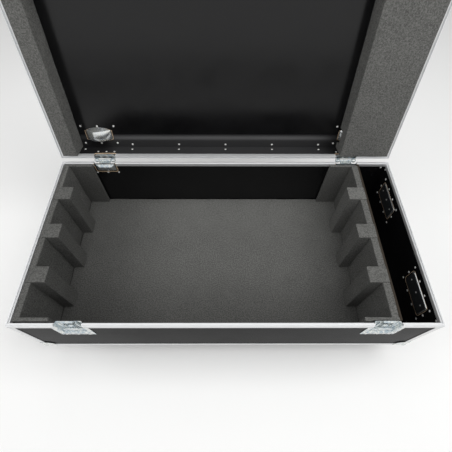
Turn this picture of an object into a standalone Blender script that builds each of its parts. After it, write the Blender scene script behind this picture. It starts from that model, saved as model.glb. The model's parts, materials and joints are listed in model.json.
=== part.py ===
"""Lighting flight case: plywood panels in aluminium extrusion, foam fittings, recessed hardware, castors.

Axes: X to the right, Y from the front to the rear, Z up. The origin lies on the foam floor, midway
between the case's sides. All lengths are in metres. The lid stands open, as it does for loading.

Fittings on a wall are drawn in that wall's own coordinates: s along the wall, u inwards from the case's
outer face and v up from the rim, where lid and base meet. The lid's pieces are drawn closed and hang
on an empty on the hinge axis, which turns them open.
"""

from math import acos, cos, pi, radians, sin, sqrt

import bmesh
import bpy
from mathutils import Matrix, Vector

# The case as a whole
CASE_LENGTH = 1.200
CASE_WIDTH = 0.600
BASE_HEIGHT = 0.233
LID_OPEN_ANGLE = radians(104)
FIT_GAP = 0.0003
CUT_OVERRUN = 0.002

# Panels and extrusion
PANEL_THICKNESS = 0.0065
BOTTOM_THICKNESS = 0.009
LID_INNER_HEIGHT = 0.068
SKIN = 0.0013
OUTER_LEG = 0.017
BASE_INNER_LEG = 0.013
LID_INNER_LEG = 0.0184
WEB = 0.002
TONGUE_START = 0.0025
TONGUE_WIDTH = 0.0038
TONGUE_HEIGHT = 0.0045
GROOVE_PLAY = 0.0006
GROOVE_SWING_PLAY = 0.001
CORNER_LEG = 0.044
CORNER_RISE = 0.0015
CORNER_RADIUS = 0.005
CORNER_ROUND_SHARE = 0.5

# Foam and divider
FLOOR_FOAM_THICKNESS = 0.0107
FOAM_RISE = 0.005
FOAM_WALL_LEFT = 0.029
RIB_COUNT = 3
RIB_PITCH = 0.150
RIB_WIDTH = 0.051
RIB_DEPTH_LEFT = 0.037
RIB_DEPTH_RIGHT = 0.035
PAD_THICKNESS = 0.0155
PAD_LENGTH_LEFT = 0.076
PAD_LENGTH_RIGHT = 0.075
CABLE_SPACE_LENGTH = 0.1152
DIVIDER_THICKNESS = 0.0066
FOAM_WALL_RIGHT = 0.0209
LID_FOAM_LEFT_WIDTH = 0.052
LID_FOAM_RIGHT_WIDTH = 0.172

# Hinges
HINGE_INSET = 0.157
HINGE_AXIS_OUT = 0.0075
HINGE_FLANGE_WIDTH = 0.102
HINGE_FLANGE_DROP = 0.058
HINGE_FLANGE_RISE = 0.042
HINGE_BOWL_WIDTH = 0.077
HINGE_BOWL_DEPTH = 0.014
HINGE_BOWL_DROP = 0.0415
HINGE_BOWL_RISE = 0.0235
KNUCKLE_RADIUS = 0.0055
KNUCKLE_LENGTH = 0.038
KNUCKLE_CLEARANCE = 0.0006
END_KNUCKLE_RADIUS = 0.0065
END_KNUCKLE_LENGTH = 0.0165
PIN_RADIUS = 0.0025
LEAF_OFFSET = 0.0025
LEAF_THICKNESS = 0.0015

# Latches
LATCH_LEFT_INSET = 0.169
LATCH_RIGHT_INSET = 0.154
LATCH_FLANGE_WIDTH = 0.102
LATCH_FLANGE_DROP = 0.088
LATCH_FLANGE_RISE = 0.040
LATCH_BOWL_WIDTH = 0.077
LATCH_BOWL_DEPTH = 0.0153
LATCH_BOWL_DROP = 0.075
LATCH_BOWL_RISE = 0.031
BOSS_DROP = 0.024
BOSS_RADIUS = 0.010
BOSS_THICKNESS = 0.007
BOSS_SHAFT_RADIUS = 0.004
HOOK_WIDTH = 0.033
HOOK_THICKNESS = 0.0026
HOOK_RISE = 0.0097
HOOK_FOOT = 0.033
HOOK_TRAVEL = 0.010
HOOK_NOSE = 0.0077
HOOK_NOSE_THICKNESS = 0.0027
HOOK_SLOT_PLAY = 0.0006
KEEPER_WIDTH = 0.036
KEEPER_DEPTH = 0.0020
KEEPER_THICKNESS = 0.0015
KEEPER_HEIGHT = 0.003
WING_SPAN = 0.050
WING_HEIGHT = 0.020
WING_WAIST = 0.011
WING_THICKNESS = 0.0016
WING_BARREL_RADIUS = 0.0018
WING_BARREL_LENGTH = 0.016

# Recessed handles in both ends
HANDLE_INSET = 0.122
HANDLE_DROP = 0.073
HANDLE_FLANGE_END = 0.0147
HANDLE_FLANGE_SIDE = 0.014
HANDLE_BOWL_LENGTH = 0.1266
HANDLE_BOWL_HEIGHT = 0.062
HANDLE_BOWL_DEPTH = 0.0097
GRIP_AXIS_RISE = 0.018
GRIP_AXIS_DEPTH = 0.0040
GRIP_END_CLEARANCE = 0.0113
GRIP_REACH = 0.038
GRIP_ARM_WIDTH = 0.006
GRIP_ARM_THICKNESS = 0.003
GRIP_BAR_HEIGHT = 0.011
GRIP_BAR_THICKNESS = 0.0052
GRIP_BARREL_RADIUS = 0.0025
LUG_HALF_HEIGHT = 0.005

# Castors and the cups that park them when cases are stacked
CASTOR_END_INSET = 0.135
CASTOR_SIDE_INSET = 0.058
CASTOR_HEIGHT = 0.128
CASTOR_TRAIL = 0.032
CASTOR_PLATE_LENGTH = 0.105
CASTOR_PLATE_WIDTH = 0.080
CASTOR_PLATE_THICKNESS = 0.003
CHEEK_THICKNESS = 0.003
CHEEK_ROOT = 0.060
CHEEK_TIP = 0.026
CHEEK_BELOW_AXLE = 0.012
RACE_RADIUS = 0.030
RACE_THICKNESS = 0.0047
FORK_THICKNESS = 0.004
KINGPIN_RADIUS = 0.005
KINGPIN_END = 0.002
AXLE_RADIUS = 0.005
AXLE_END = 0.003
WHEEL_RADIUS = 0.050
WHEEL_WIDTH = 0.036
WHEEL_EDGE = 0.005
WHEEL_FACE_RADIUS = 0.036
WHEEL_DISH = 0.005
HUB_RADIUS = 0.014
HUB_WIDTH = 0.0434
CUP_PLATE_LENGTH = 0.135
CUP_PLATE_WIDTH = 0.080
CUP_RADIUS = 0.052
CUP_DEPTH = 0.028
CUP_WIDTH = 0.056

# Divisions of the round shapes
FINE_SIDES = 32
PLAIN_SIDES = 16
CUP_STEPS = 10
CORNER_SEGMENTS = 3

HALF_LENGTH = CASE_LENGTH / 2
HALF_WIDTH = CASE_WIDTH / 2
PANEL_OUT = SKIN + FIT_GAP
PANEL_IN = PANEL_OUT + PANEL_THICKNESS
RIM_IN = PANEL_IN + FIT_GAP + SKIN
FOAM_OUT = RIM_IN + FIT_GAP
CLEAR_OF_BOWLS = HALF_WIDTH - max(LATCH_BOWL_DEPTH, HINGE_BOWL_DEPTH) - FIT_GAP
FOAM_FOOT = -FLOOR_FOAM_THICKNESS
BOTTOM_TOP = FOAM_FOOT - FIT_GAP
UNDERSIDE = BOTTOM_TOP - BOTTOM_THICKNESS
RIM = UNDERSIDE + BASE_HEIGHT
FOAM_TOP = RIM + FOAM_RISE
HINGE_X = HALF_LENGTH - HINGE_INSET
LATCH_X = {"left": LATCH_LEFT_INSET - HALF_LENGTH, "right": HALF_LENGTH - LATCH_RIGHT_INSET}
DIVIDER_X = HALF_LENGTH - CABLE_SPACE_LENGTH
HANDLE_Y = HALF_WIDTH - HANDLE_INSET
CASTOR_X = HALF_LENGTH - CASTOR_END_INSET
CASTOR_Y = HALF_WIDTH - CASTOR_SIDE_INSET
PANEL_TOP = -WEB - FIT_GAP
LID_PANEL_FOOT = FIT_GAP + TONGUE_HEIGHT + GROOVE_PLAY + WEB + FIT_GAP
LID_TOP = LID_INNER_HEIGHT + PANEL_THICKNESS
LID_SKIN_TOP = LID_TOP + FIT_GAP + SKIN
HINGE_POINT = Vector((0, HALF_WIDTH + HINGE_AXIS_OUT, RIM))
UP = Vector((0, 0, 1))


def wall_frame(side, place=0.0, height=0.0):
    """The matrix from a wall's (s, u, v), counted from a place along it, to the case's X, Y and Z."""
    turn = {"front": 0.0, "right": pi / 2, "rear": pi, "left": -pi / 2}[side]
    reach = HALF_WIDTH if side in ("front", "rear") else HALF_LENGTH
    rim = Matrix.Translation((0, 0, RIM + height))
    return rim @ Matrix.Rotation(turn, 4, "Z") @ Matrix.Translation((place, -reach, 0))


def clear_scene():
    for thing in list(bpy.data.objects):
        bpy.data.objects.remove(thing)


def finish(name, color, roughness, metallic):
    """A Principled material with one colour."""
    material = bpy.data.materials.new(name)
    material.use_nodes = True
    shader = material.node_tree.nodes["Principled BSDF"]
    shader.inputs["Base Color"].default_value = (*color, 1)
    shader.inputs["Roughness"].default_value = roughness
    shader.inputs["Metallic"].default_value = metallic
    return material


def block(low, high):
    """A box between two corners."""
    shape = bmesh.new()
    bmesh.ops.create_cube(shape, size=1)
    low, high = Vector(low), Vector(high)
    size = Matrix.Diagonal((*(high - low), 1))
    bmesh.ops.transform(shape, matrix=Matrix.Translation((low + high) / 2) @ size, verts=shape.verts)
    return shape


def rod(start, end, radius, sides=PLAIN_SIDES):
    """A cylinder between two points."""
    shape = bmesh.new()
    start, end = Vector(start), Vector(end)
    along = end - start
    turn = UP.rotation_difference(along).to_matrix().to_4x4()
    bmesh.ops.create_cone(
        shape, cap_ends=True, segments=sides, radius1=radius, radius2=radius, depth=along.length
    )
    bmesh.ops.transform(shape, matrix=Matrix.Translation((start + end) / 2) @ turn, verts=shape.verts)
    return shape


def bridge(rings):
    """A closed solid through a row of outlines with equal numbers of points."""
    shape = bmesh.new()
    made = [[shape.verts.new(point) for point in ring] for ring in rings]
    for first, second in zip(made, made[1:]):
        for here in range(len(first)):
            after = (here + 1) % len(first)
            shape.faces.new((first[here], first[after], second[after], second[here]))
    shape.faces.new(made[0])
    shape.faces.new(made[-1])
    return shape


def prism(outline, low, high, along="Z"):
    """An outline of (a, b) points carried along one axis, with a and b the two other axes in turn."""
    order = {"X": (2, 0, 1), "Y": (0, 2, 1), "Z": (0, 1, 2)}[along]

    def placed(level):
        return [tuple((a, b, level)[index] for index in order) for a, b in outline]

    return bridge([placed(low), placed(high)])


def helper(name, shape, owner, kind):
    """A hidden solid that is joined to its owner or cut from it."""
    mesh = bpy.data.meshes.new(name)
    bmesh.ops.recalc_face_normals(shape, faces=shape.faces)
    shape.to_mesh(mesh)
    shape.free()
    thing = bpy.data.objects.new(name, mesh)
    thing.parent = owner.parent
    thing.location = owner.location
    thing.hide_render = True
    thing.display_type = "WIRE"
    bpy.context.scene.collection.objects.link(thing)
    change = owner.modifiers.new(name, "BOOLEAN")
    change.operation = kind
    change.object = thing
    return thing


def piece(name, shape, material, joins=(), cuts=(), frame=None, origin=(0, 0, 0), parent=None):
    """One sub-part: a solid with what is joined to it and cut from it, drawn in a frame of its own."""
    frame = frame or Matrix.Identity(4)
    origin = Vector(origin)
    move = Matrix.Translation(-origin) @ frame
    for solid in (shape, *joins, *cuts):
        bmesh.ops.transform(solid, matrix=move, verts=solid.verts)
        bmesh.ops.recalc_face_normals(solid, faces=solid.faces)
    mesh = bpy.data.meshes.new(name)
    shape.to_mesh(mesh)
    shape.free()
    mesh.materials.append(material)
    mesh.shade_smooth()
    mesh.set_sharp_from_angle(angle=radians(30))
    thing = bpy.data.objects.new(name, mesh)
    thing.parent = parent
    hung = parent.matrix_world.translation if parent else Vector()
    thing.location = Vector() if parent and parent.type == "EMPTY" else origin - hung
    bpy.context.scene.collection.objects.link(thing)
    for index, solid in enumerate(joins):
        helper(f"{name}_join_{index}", solid, thing, "UNION")
    for index, solid in enumerate(cuts):
        helper(f"{name}_cut_{index}", solid, thing, "DIFFERENCE")
    bpy.context.view_layer.update()
    return thing


def lid_piece(name, shape, material, pivot, **more):
    """A sub-part of the lid, drawn closed."""
    return piece(name, shape, material, origin=HINGE_POINT, parent=pivot, **more)


def base_section():
    """Outline (u, v) of the base's rim extrusion: two legs, a web and the tongue."""
    tongue_end = TONGUE_START + TONGUE_WIDTH
    return [
        (0, 0), (0, -OUTER_LEG), (SKIN, -OUTER_LEG), (SKIN, -WEB), (RIM_IN - SKIN, -WEB),
        (RIM_IN - SKIN, -BASE_INNER_LEG), (RIM_IN, -BASE_INNER_LEG), (RIM_IN, 0), (tongue_end, 0),
        (tongue_end, TONGUE_HEIGHT), (TONGUE_START, TONGUE_HEIGHT), (TONGUE_START, 0),
    ]


def lid_section():
    """Outline (u, v) of the lid's rim extrusion: two legs, a web and the groove that takes the tongue."""
    groove_start = TONGUE_START - GROOVE_PLAY
    groove_end = TONGUE_START + TONGUE_WIDTH + GROOVE_SWING_PLAY
    groove_top = FIT_GAP + TONGUE_HEIGHT + GROOVE_PLAY
    web_top = groove_top + WEB
    return [
        (0, FIT_GAP), (0, OUTER_LEG), (SKIN, OUTER_LEG), (SKIN, web_top), (RIM_IN - SKIN, web_top),
        (RIM_IN - SKIN, LID_INNER_LEG), (RIM_IN, LID_INNER_LEG), (RIM_IN, FIT_GAP), (groove_end, FIT_GAP),
        (groove_end, groove_top), (groove_start, groove_top), (groove_start, FIT_GAP),
    ]


def straight_run(section, side, start, end):
    """A rim section carried along the front or the rear, between two places in X."""
    inwards = 1 if side == "front" else -1
    return bridge(
        [[(x, inwards * (u - HALF_WIDTH), RIM + v) for u, v in section] for x in (start, end)]
    )


def round_run(section, side, front_end, rear_end):
    """A rim section carried round one end of the case with mitred corners."""
    outwards = -1 if side == "left" else 1

    def ring(x, front):
        inwards = 1 if front else -1
        return [
            (
                outwards * (HALF_LENGTH - u) if x is None else x,
                inwards * (u - HALF_WIDTH),
                RIM + v,
            )
            for u, v in section
        ]

    return bridge([ring(front_end, True), ring(None, True), ring(None, False), ring(rear_end, False)])


def rims(section, label, add, material):
    """The rim in four lengths, which stop at the latches and hinges."""
    latch_half = LATCH_BOWL_WIDTH / 2 + FIT_GAP
    hinge_half = HINGE_BOWL_WIDTH / 2 + FIT_GAP
    front_left = LATCH_X["left"] - latch_half
    front_right = LATCH_X["right"] + latch_half
    hinge_out = HINGE_X + hinge_half
    front = straight_run(section, "front", LATCH_X["left"] + latch_half, LATCH_X["right"] - latch_half)
    rear = straight_run(section, "rear", hinge_half - HINGE_X, HINGE_X - hinge_half)
    add(f"{label}_rim_front", front, material)
    add(f"{label}_rim_rear", rear, material)
    add(f"{label}_rim_left", round_run(section, "left", front_left, -hinge_out), material)
    add(f"{label}_rim_right", round_run(section, "right", front_right, hinge_out), material)


def edging(name, add, material, foot, top, capped_low):
    """Angle extrusion along the far edges and up the corners, with a pressed cap on each far corner."""
    low, high = RIM + foot, RIM + top
    out = (HALF_LENGTH, HALF_WIDTH)
    shell = block((-out[0], -out[1], low), (out[0], out[1], high))
    inner_low = low + SKIN if capped_low else low - CUT_OVERRUN
    inner_high = high + CUT_OVERRUN if capped_low else high - SKIN
    inside = [half - SKIN for half in out]
    core_low = (-inside[0], -inside[1], inner_low)
    core_high = (inside[0], inside[1], inner_high)
    window = [half - OUTER_LEG for half in out]
    sill_low = low + OUTER_LEG if capped_low else low - CUT_OVERRUN
    sill_high = high + CUT_OVERRUN if capped_low else high - OUTER_LEG
    beyond = [half + CUT_OVERRUN for half in out]
    end = low if capped_low else high
    cuts = [
        block(core_low, core_high),
        block((-beyond[0], -window[1], sill_low), (beyond[0], window[1], sill_high)),
        block((-window[0], -beyond[1], sill_low), (window[0], beyond[1], sill_high)),
        block((-window[0], -window[1], end - CUT_OVERRUN), (window[0], window[1], end + CUT_OVERRUN)),
    ]
    frame = add(name, shell, material, cuts=cuts)
    shift = HINGE_POINT if frame.parent else Vector()
    for x_side in (-1, 1):
        for y_side in (-1, 1):
            towards = Vector((x_side, y_side, -1 if capped_low else 1))
            tip = Vector((x_side * out[0], y_side * out[1], end)) + towards * CORNER_RISE
            root = tip - towards * CORNER_LEG
            cap = block([min(pair) for pair in zip(tip, root)], [max(pair) for pair in zip(tip, root)])
            edges = [
                edge
                for edge in cap.edges
                if sum((vert.co - tip).length < CORNER_RISE for vert in edge.verts)
            ]
            bmesh.ops.bevel(
                cap,
                geom=edges,
                offset=CORNER_RADIUS,
                segments=CORNER_SEGMENTS,
                affect="EDGES",
                profile=CORNER_ROUND_SHARE,
            )
            bmesh.ops.translate(cap, vec=-shift, verts=cap.verts)
            mark = f"{name}_cap_{'r' if x_side > 0 else 'l'}{'b' if y_side > 0 else 'f'}"
            solid = helper(mark, cap, frame, "UNION")
            core = block(core_low, core_high)
            bmesh.ops.translate(core, vec=-shift, verts=core.verts)
            helper(f"{mark}_core", core, solid, "DIFFERENCE")
    return frame


def panel_cuts(side, places, half, depth_low, depth_high):
    """Openings in a wall for the bowls of its fittings."""
    cuts = []
    for place in places:
        cut = block(
            (place - half - FIT_GAP, -CUT_OVERRUN, depth_low),
            (place + half + FIT_GAP, RIM_IN + CUT_OVERRUN, depth_high),
        )
        bmesh.ops.transform(cut, matrix=wall_frame(side), verts=cut.verts)
        cuts.append(cut)
    return cuts


def base_panels(add, ply):
    """Bottom, front, rear and two ends of the base."""
    out = (HALF_LENGTH - PANEL_OUT, HALF_WIDTH - PANEL_OUT)
    inside = (HALF_LENGTH - PANEL_IN, HALF_WIDTH - PANEL_IN)
    top = RIM + PANEL_TOP
    low = UNDERSIDE
    within = [half - FIT_GAP for half in inside]
    add("bottom_panel", block((-within[0], -within[1], low), (within[0], within[1], BOTTOM_TOP)), ply)
    latch_places = LATCH_X.values()
    latch_cuts = panel_cuts("front", latch_places, LATCH_BOWL_WIDTH / 2, -LATCH_BOWL_DROP - FIT_GAP, 0)
    hinge_places = (-HINGE_X, HINGE_X)
    hinge_cuts = panel_cuts("rear", hinge_places, HINGE_BOWL_WIDTH / 2, -HINGE_BOWL_DROP - FIT_GAP, 0)
    add("front_panel", block((-out[0], -out[1], low), (out[0], -inside[1], top)), ply, cuts=latch_cuts)
    add("rear_panel", block((-out[0], inside[1], low), (out[0], out[1], top)), ply, cuts=hinge_cuts)
    hole = HANDLE_BOWL_HEIGHT / 2 + FIT_GAP
    for side, sign in (("left", -1), ("right", 1)):
        ends = sorted((sign * out[0], sign * inside[0]))
        end_panel = block((ends[0], -within[1], low), (ends[1], within[1], top))
        spans = (-HANDLE_DROP - hole, hole - HANDLE_DROP)
        handle_cuts = panel_cuts(side, (-HANDLE_Y, HANDLE_Y), HANDLE_BOWL_LENGTH / 2, *spans)
        add(f"{side}_end_panel", end_panel, ply, cuts=handle_cuts)


def foam_line(face, rib_end, pad_end, play=0.0):
    """Plan of a foam wall's inner side from front to rear, past two pads and the ribs, with a play."""
    edge = HALF_WIDTH - FOAM_OUT
    pad_face = HALF_WIDTH - PANEL_IN - FIT_GAP - PAD_THICKNESS - play
    shift = play if rib_end > face else -play
    face, rib_end, pad_end = face + shift, rib_end + shift, pad_end + shift
    points = [(pad_end, -edge), (pad_end, -pad_face), (face, -pad_face)]
    for index in range(RIB_COUNT):
        middle = (index - (RIB_COUNT - 1) / 2) * RIB_PITCH
        low, high = middle - RIB_WIDTH / 2 - play, middle + RIB_WIDTH / 2 + play
        points += [(face, low), (rib_end, low), (rib_end, high), (face, high)]
    return [*points, (face, pad_face), (pad_end, pad_face), (pad_end, edge)]


def notch_x():
    """Where the right-hand foam starts to give way to the bowls of the right-hand latch and hinge."""
    latch_side = LATCH_X["right"] - LATCH_BOWL_WIDTH / 2
    hinge_side = HINGE_X - HINGE_BOWL_WIDTH / 2
    return min(latch_side, hinge_side) - FIT_GAP


def base_foam(add, foam, ply):
    """Floor foam, two foam walls with ribs and pads, and the board that closes off the cable space."""
    edge = HALF_WIDTH - FOAM_OUT
    left_back = -HALF_LENGTH + FOAM_OUT
    left_face = left_back + FOAM_WALL_LEFT
    left_line = (left_face, left_face + RIB_DEPTH_LEFT, left_face + PAD_LENGTH_LEFT)
    left_corners = [(left_back, edge), (left_back, -edge)]
    add("left_foam", prism(foam_line(*left_line) + left_corners, FOAM_FOOT, FOAM_TOP), foam)
    board = DIVIDER_X - DIVIDER_THICKNESS
    right_back = board - FIT_GAP
    right_face = right_back - FOAM_WALL_RIGHT
    right_line = (right_face, right_face - RIB_DEPTH_RIGHT, right_face - PAD_LENGTH_RIGHT)
    notch = [(notch_x(), edge), (notch_x(), CLEAR_OF_BOWLS), (right_back, CLEAR_OF_BOWLS)]
    right_corners = notch + [(x, -y) for x, y in reversed(notch)]
    add("right_foam", prism(foam_line(*right_line) + right_corners, FOAM_FOOT, FOAM_TOP), foam)
    floor = foam_line(*left_line, play=FIT_GAP) + foam_line(*right_line, play=FIT_GAP)[::-1]
    add("floor_foam", prism(floor, FOAM_FOOT, 0), foam)
    divider = block((board, -CLEAR_OF_BOWLS, FOAM_FOOT), (DIVIDER_X, edge, FOAM_TOP))
    hinge_notch = block(
        (board - CUT_OVERRUN, CLEAR_OF_BOWLS, RIM - HINGE_BOWL_DROP - FIT_GAP),
        (DIVIDER_X + CUT_OVERRUN, edge + CUT_OVERRUN, FOAM_TOP + CUT_OVERRUN),
    )
    add("divider_board", divider, ply, cuts=[hinge_notch])
    batten_top = RIM - LATCH_BOWL_DROP - FIT_GAP
    batten = block((board, -edge, FOAM_FOOT), (DIVIDER_X, -CLEAR_OF_BOWLS - FIT_GAP, batten_top))
    add("divider_batten", batten, ply)


def bowl(width, depth, low, high, open_low, open_high):
    """The solid of a pressed bowl and the hollow cut from it; an open end runs past the bowl."""
    half = width / 2
    outer = block((-half, 0, low), (half, depth, high))
    inner_low = low - CUT_OVERRUN if open_low else low + SKIN
    inner_high = high + CUT_OVERRUN if open_high else high - SKIN
    inner = block((SKIN - half, -CUT_OVERRUN, inner_low), (half - SKIN, depth - SKIN, inner_high))
    return outer, inner


def hinges(add, add_to_lid, steel):
    """Recessed hinges of a base half and a lid half; the pin is fixed in the base half."""
    axis = -HINGE_AXIS_OUT
    flange_half = HINGE_FLANGE_WIDTH / 2
    beside_rim = OUTER_LEG + FIT_GAP
    middle = KNUCKLE_LENGTH / 2
    ends_start = middle + FIT_GAP
    ends_end = ends_start + END_KNUCKLE_LENGTH
    leaf_end = HINGE_BOWL_DEPTH - SKIN / 2
    leaf = (LEAF_OFFSET, LEAF_OFFSET + LEAF_THICKNESS)
    for label, sign in (("left", -1), ("right", 1)):
        frame = wall_frame("rear", -sign * HINGE_X)
        outer, inner = bowl(HINGE_BOWL_WIDTH, HINGE_BOWL_DEPTH, -HINGE_BOWL_DROP, -FIT_GAP, False, True)
        flange = block((-flange_half, 0, -HINGE_FLANGE_DROP), (flange_half, SKIN, -beside_rim))
        body = piece(
            f"hinge_{label}_base_half",
            flange,
            steel,
            joins=[outer],
            cuts=[inner],
            frame=frame,
        )
        base_leaf = block((-middle, axis, -leaf[1]), (middle, leaf_end, -leaf[0]))
        barrel = rod((-middle, axis, 0), (middle, axis, 0), KNUCKLE_RADIUS)
        pin = rod((-ends_end, axis, 0), (ends_end, axis, 0), PIN_RADIUS)
        for index, solid in enumerate((base_leaf, barrel, pin)):
            bmesh.ops.transform(solid, matrix=frame, verts=solid.verts)
            helper(f"hinge_{label}_base_more_{index}", solid, body, "UNION")
        lid_bowl = bowl(HINGE_BOWL_WIDTH, HINGE_BOWL_DEPTH, FIT_GAP, HINGE_BOWL_RISE, True, False)
        lid_flange = block((-flange_half, 0, beside_rim), (flange_half, SKIN, HINGE_FLANGE_RISE))
        lid_body = add_to_lid(
            f"hinge_{label}_lid_half",
            lid_flange,
            steel,
            joins=[lid_bowl[0]],
            cuts=[lid_bowl[1]],
            frame=frame,
        )
        clear_of_knuckle = axis + KNUCKLE_RADIUS + KNUCKLE_CLEARANCE
        parts = [block((-ends_end, clear_of_knuckle, leaf[0]), (ends_end, leaf_end, leaf[1]))]
        bore = []
        for side in (-1, 1):
            near, far = side * ends_start, side * ends_end
            parts.append(block((min(near, far), axis, leaf[0]), (max(near, far), leaf_end, leaf[1])))
            parts.append(rod((near, axis, 0), (far, axis, 0), END_KNUCKLE_RADIUS))
            before, after = near - side * CUT_OVERRUN, far + side * CUT_OVERRUN
            bore.append(rod((before, axis, 0), (after, axis, 0), PIN_RADIUS + FIT_GAP))
        shift = Matrix.Translation(-HINGE_POINT) @ frame
        for kind, solids in (("UNION", parts), ("DIFFERENCE", bore)):
            for index, solid in enumerate(solids):
                bmesh.ops.transform(solid, matrix=shift, verts=solid.verts)
                helper(f"hinge_{label}_lid_{kind.lower()}_{index}", solid, lid_body, kind)


def latches(add, add_to_lid, steel):
    """Butterfly latches: dish, turning boss with a folding wing, and the hook that the boss draws down."""
    flange_half = LATCH_FLANGE_WIDTH / 2
    beside_rim = OUTER_LEG + FIT_GAP
    back = LATCH_BOWL_DEPTH - SKIN
    hook_back = back - FIT_GAP
    hook_front = hook_back - HOOK_THICKNESS
    boss_back = hook_front - FIT_GAP
    boss_front = boss_back - BOSS_THICKNESS
    for label, place in LATCH_X.items():
        frame = wall_frame("front", place)
        outer, inner = bowl(LATCH_BOWL_WIDTH, LATCH_BOWL_DEPTH, -LATCH_BOWL_DROP, -FIT_GAP, False, True)
        flange = block((-flange_half, 0, -LATCH_FLANGE_DROP), (flange_half, SKIN, -beside_rim))
        behind = LATCH_BOWL_DEPTH + CUT_OVERRUN
        before = back - CUT_OVERRUN
        bore = rod((0, before, -BOSS_DROP), (0, behind, -BOSS_DROP), BOSS_SHAFT_RADIUS + FIT_GAP)
        add(f"latch_{label}_dish", flange, steel, joins=[outer], cuts=[inner, bore], frame=frame)
        boss_point = frame @ Vector((0, boss_front, -BOSS_DROP))
        disc = rod((0, boss_front, -BOSS_DROP), (0, boss_back, -BOSS_DROP), BOSS_RADIUS, FINE_SIDES)
        shaft_start = boss_front + SKIN
        shaft = rod((0, shaft_start, -BOSS_DROP), (0, LATCH_BOWL_DEPTH, -BOSS_DROP), BOSS_SHAFT_RADIUS)
        boss = piece(f"latch_{label}_boss", disc, steel, joins=[shaft], frame=frame, origin=boss_point)
        half = HOOK_WIDTH / 2
        plate = block((-half, hook_front, -HOOK_FOOT), (half, hook_back, HOOK_RISE))
        nose_low = HOOK_RISE - HOOK_NOSE_THICKNESS
        nose = block((-half, hook_back - HOOK_NOSE, nose_low), (half, hook_back, HOOK_RISE))
        slot_half = BOSS_SHAFT_RADIUS + HOOK_SLOT_PLAY
        slot = block(
            (-slot_half, hook_front - CUT_OVERRUN, -HOOK_FOOT - CUT_OVERRUN),
            (slot_half, hook_back + CUT_OVERRUN, HOOK_TRAVEL + slot_half - BOSS_DROP),
        )
        hook_point = frame @ Vector((0, hook_back, 0))
        piece(
            f"latch_{label}_hook", plate, steel, joins=[nose], cuts=[slot], frame=frame, origin=hook_point
        )
        barrel_depth = boss_front - FIT_GAP - WING_BARREL_RADIUS
        barrel_half = WING_BARREL_LENGTH / 2
        barrel_ends = [(side * barrel_half, barrel_depth, -BOSS_DROP) for side in (-1, 1)]
        span = WING_SPAN / 2
        bevel = WING_HEIGHT / 4
        drops = [
            (barrel_half, 0), (span - bevel, bevel), (span, 2 * bevel), (span, WING_HEIGHT - bevel),
            (span - bevel, WING_HEIGHT), (barrel_half, WING_WAIST),
        ]
        sides = drops + [(-x, drop) for x, drop in reversed(drops)]
        outline = [(x, -BOSS_DROP - drop) for x, drop in sides]
        leaf_front = barrel_depth - WING_THICKNESS / 2
        leaf = prism(outline, leaf_front, leaf_front + WING_THICKNESS, along="Y")
        wing_point = frame @ Vector((0, barrel_depth, -BOSS_DROP))
        barrel = rod(*barrel_ends, WING_BARREL_RADIUS)
        piece(
            f"latch_{label}_wing", leaf, steel, joins=[barrel], frame=frame, origin=wing_point, parent=boss
        )
        lid_bowl = bowl(LATCH_BOWL_WIDTH, LATCH_BOWL_DEPTH, FIT_GAP, LATCH_BOWL_RISE, True, False)
        lid_flange = block((-flange_half, 0, beside_rim), (flange_half, SKIN, LATCH_FLANGE_RISE))
        keeper = add_to_lid(
            f"latch_{label}_keeper", lid_flange, steel, joins=[lid_bowl[0]], cuts=[lid_bowl[1]], frame=frame
        )
        strap_half = KEEPER_WIDTH / 2
        strap = block(
            (-strap_half, KEEPER_DEPTH, KEEPER_HEIGHT),
            (strap_half, KEEPER_DEPTH + KEEPER_THICKNESS, LATCH_BOWL_RISE - SKIN / 2),
        )
        bmesh.ops.transform(strap, matrix=Matrix.Translation(-HINGE_POINT) @ frame, verts=strap.verts)
        helper(f"latch_{label}_keeper_strap", strap, keeper, "UNION")


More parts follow.
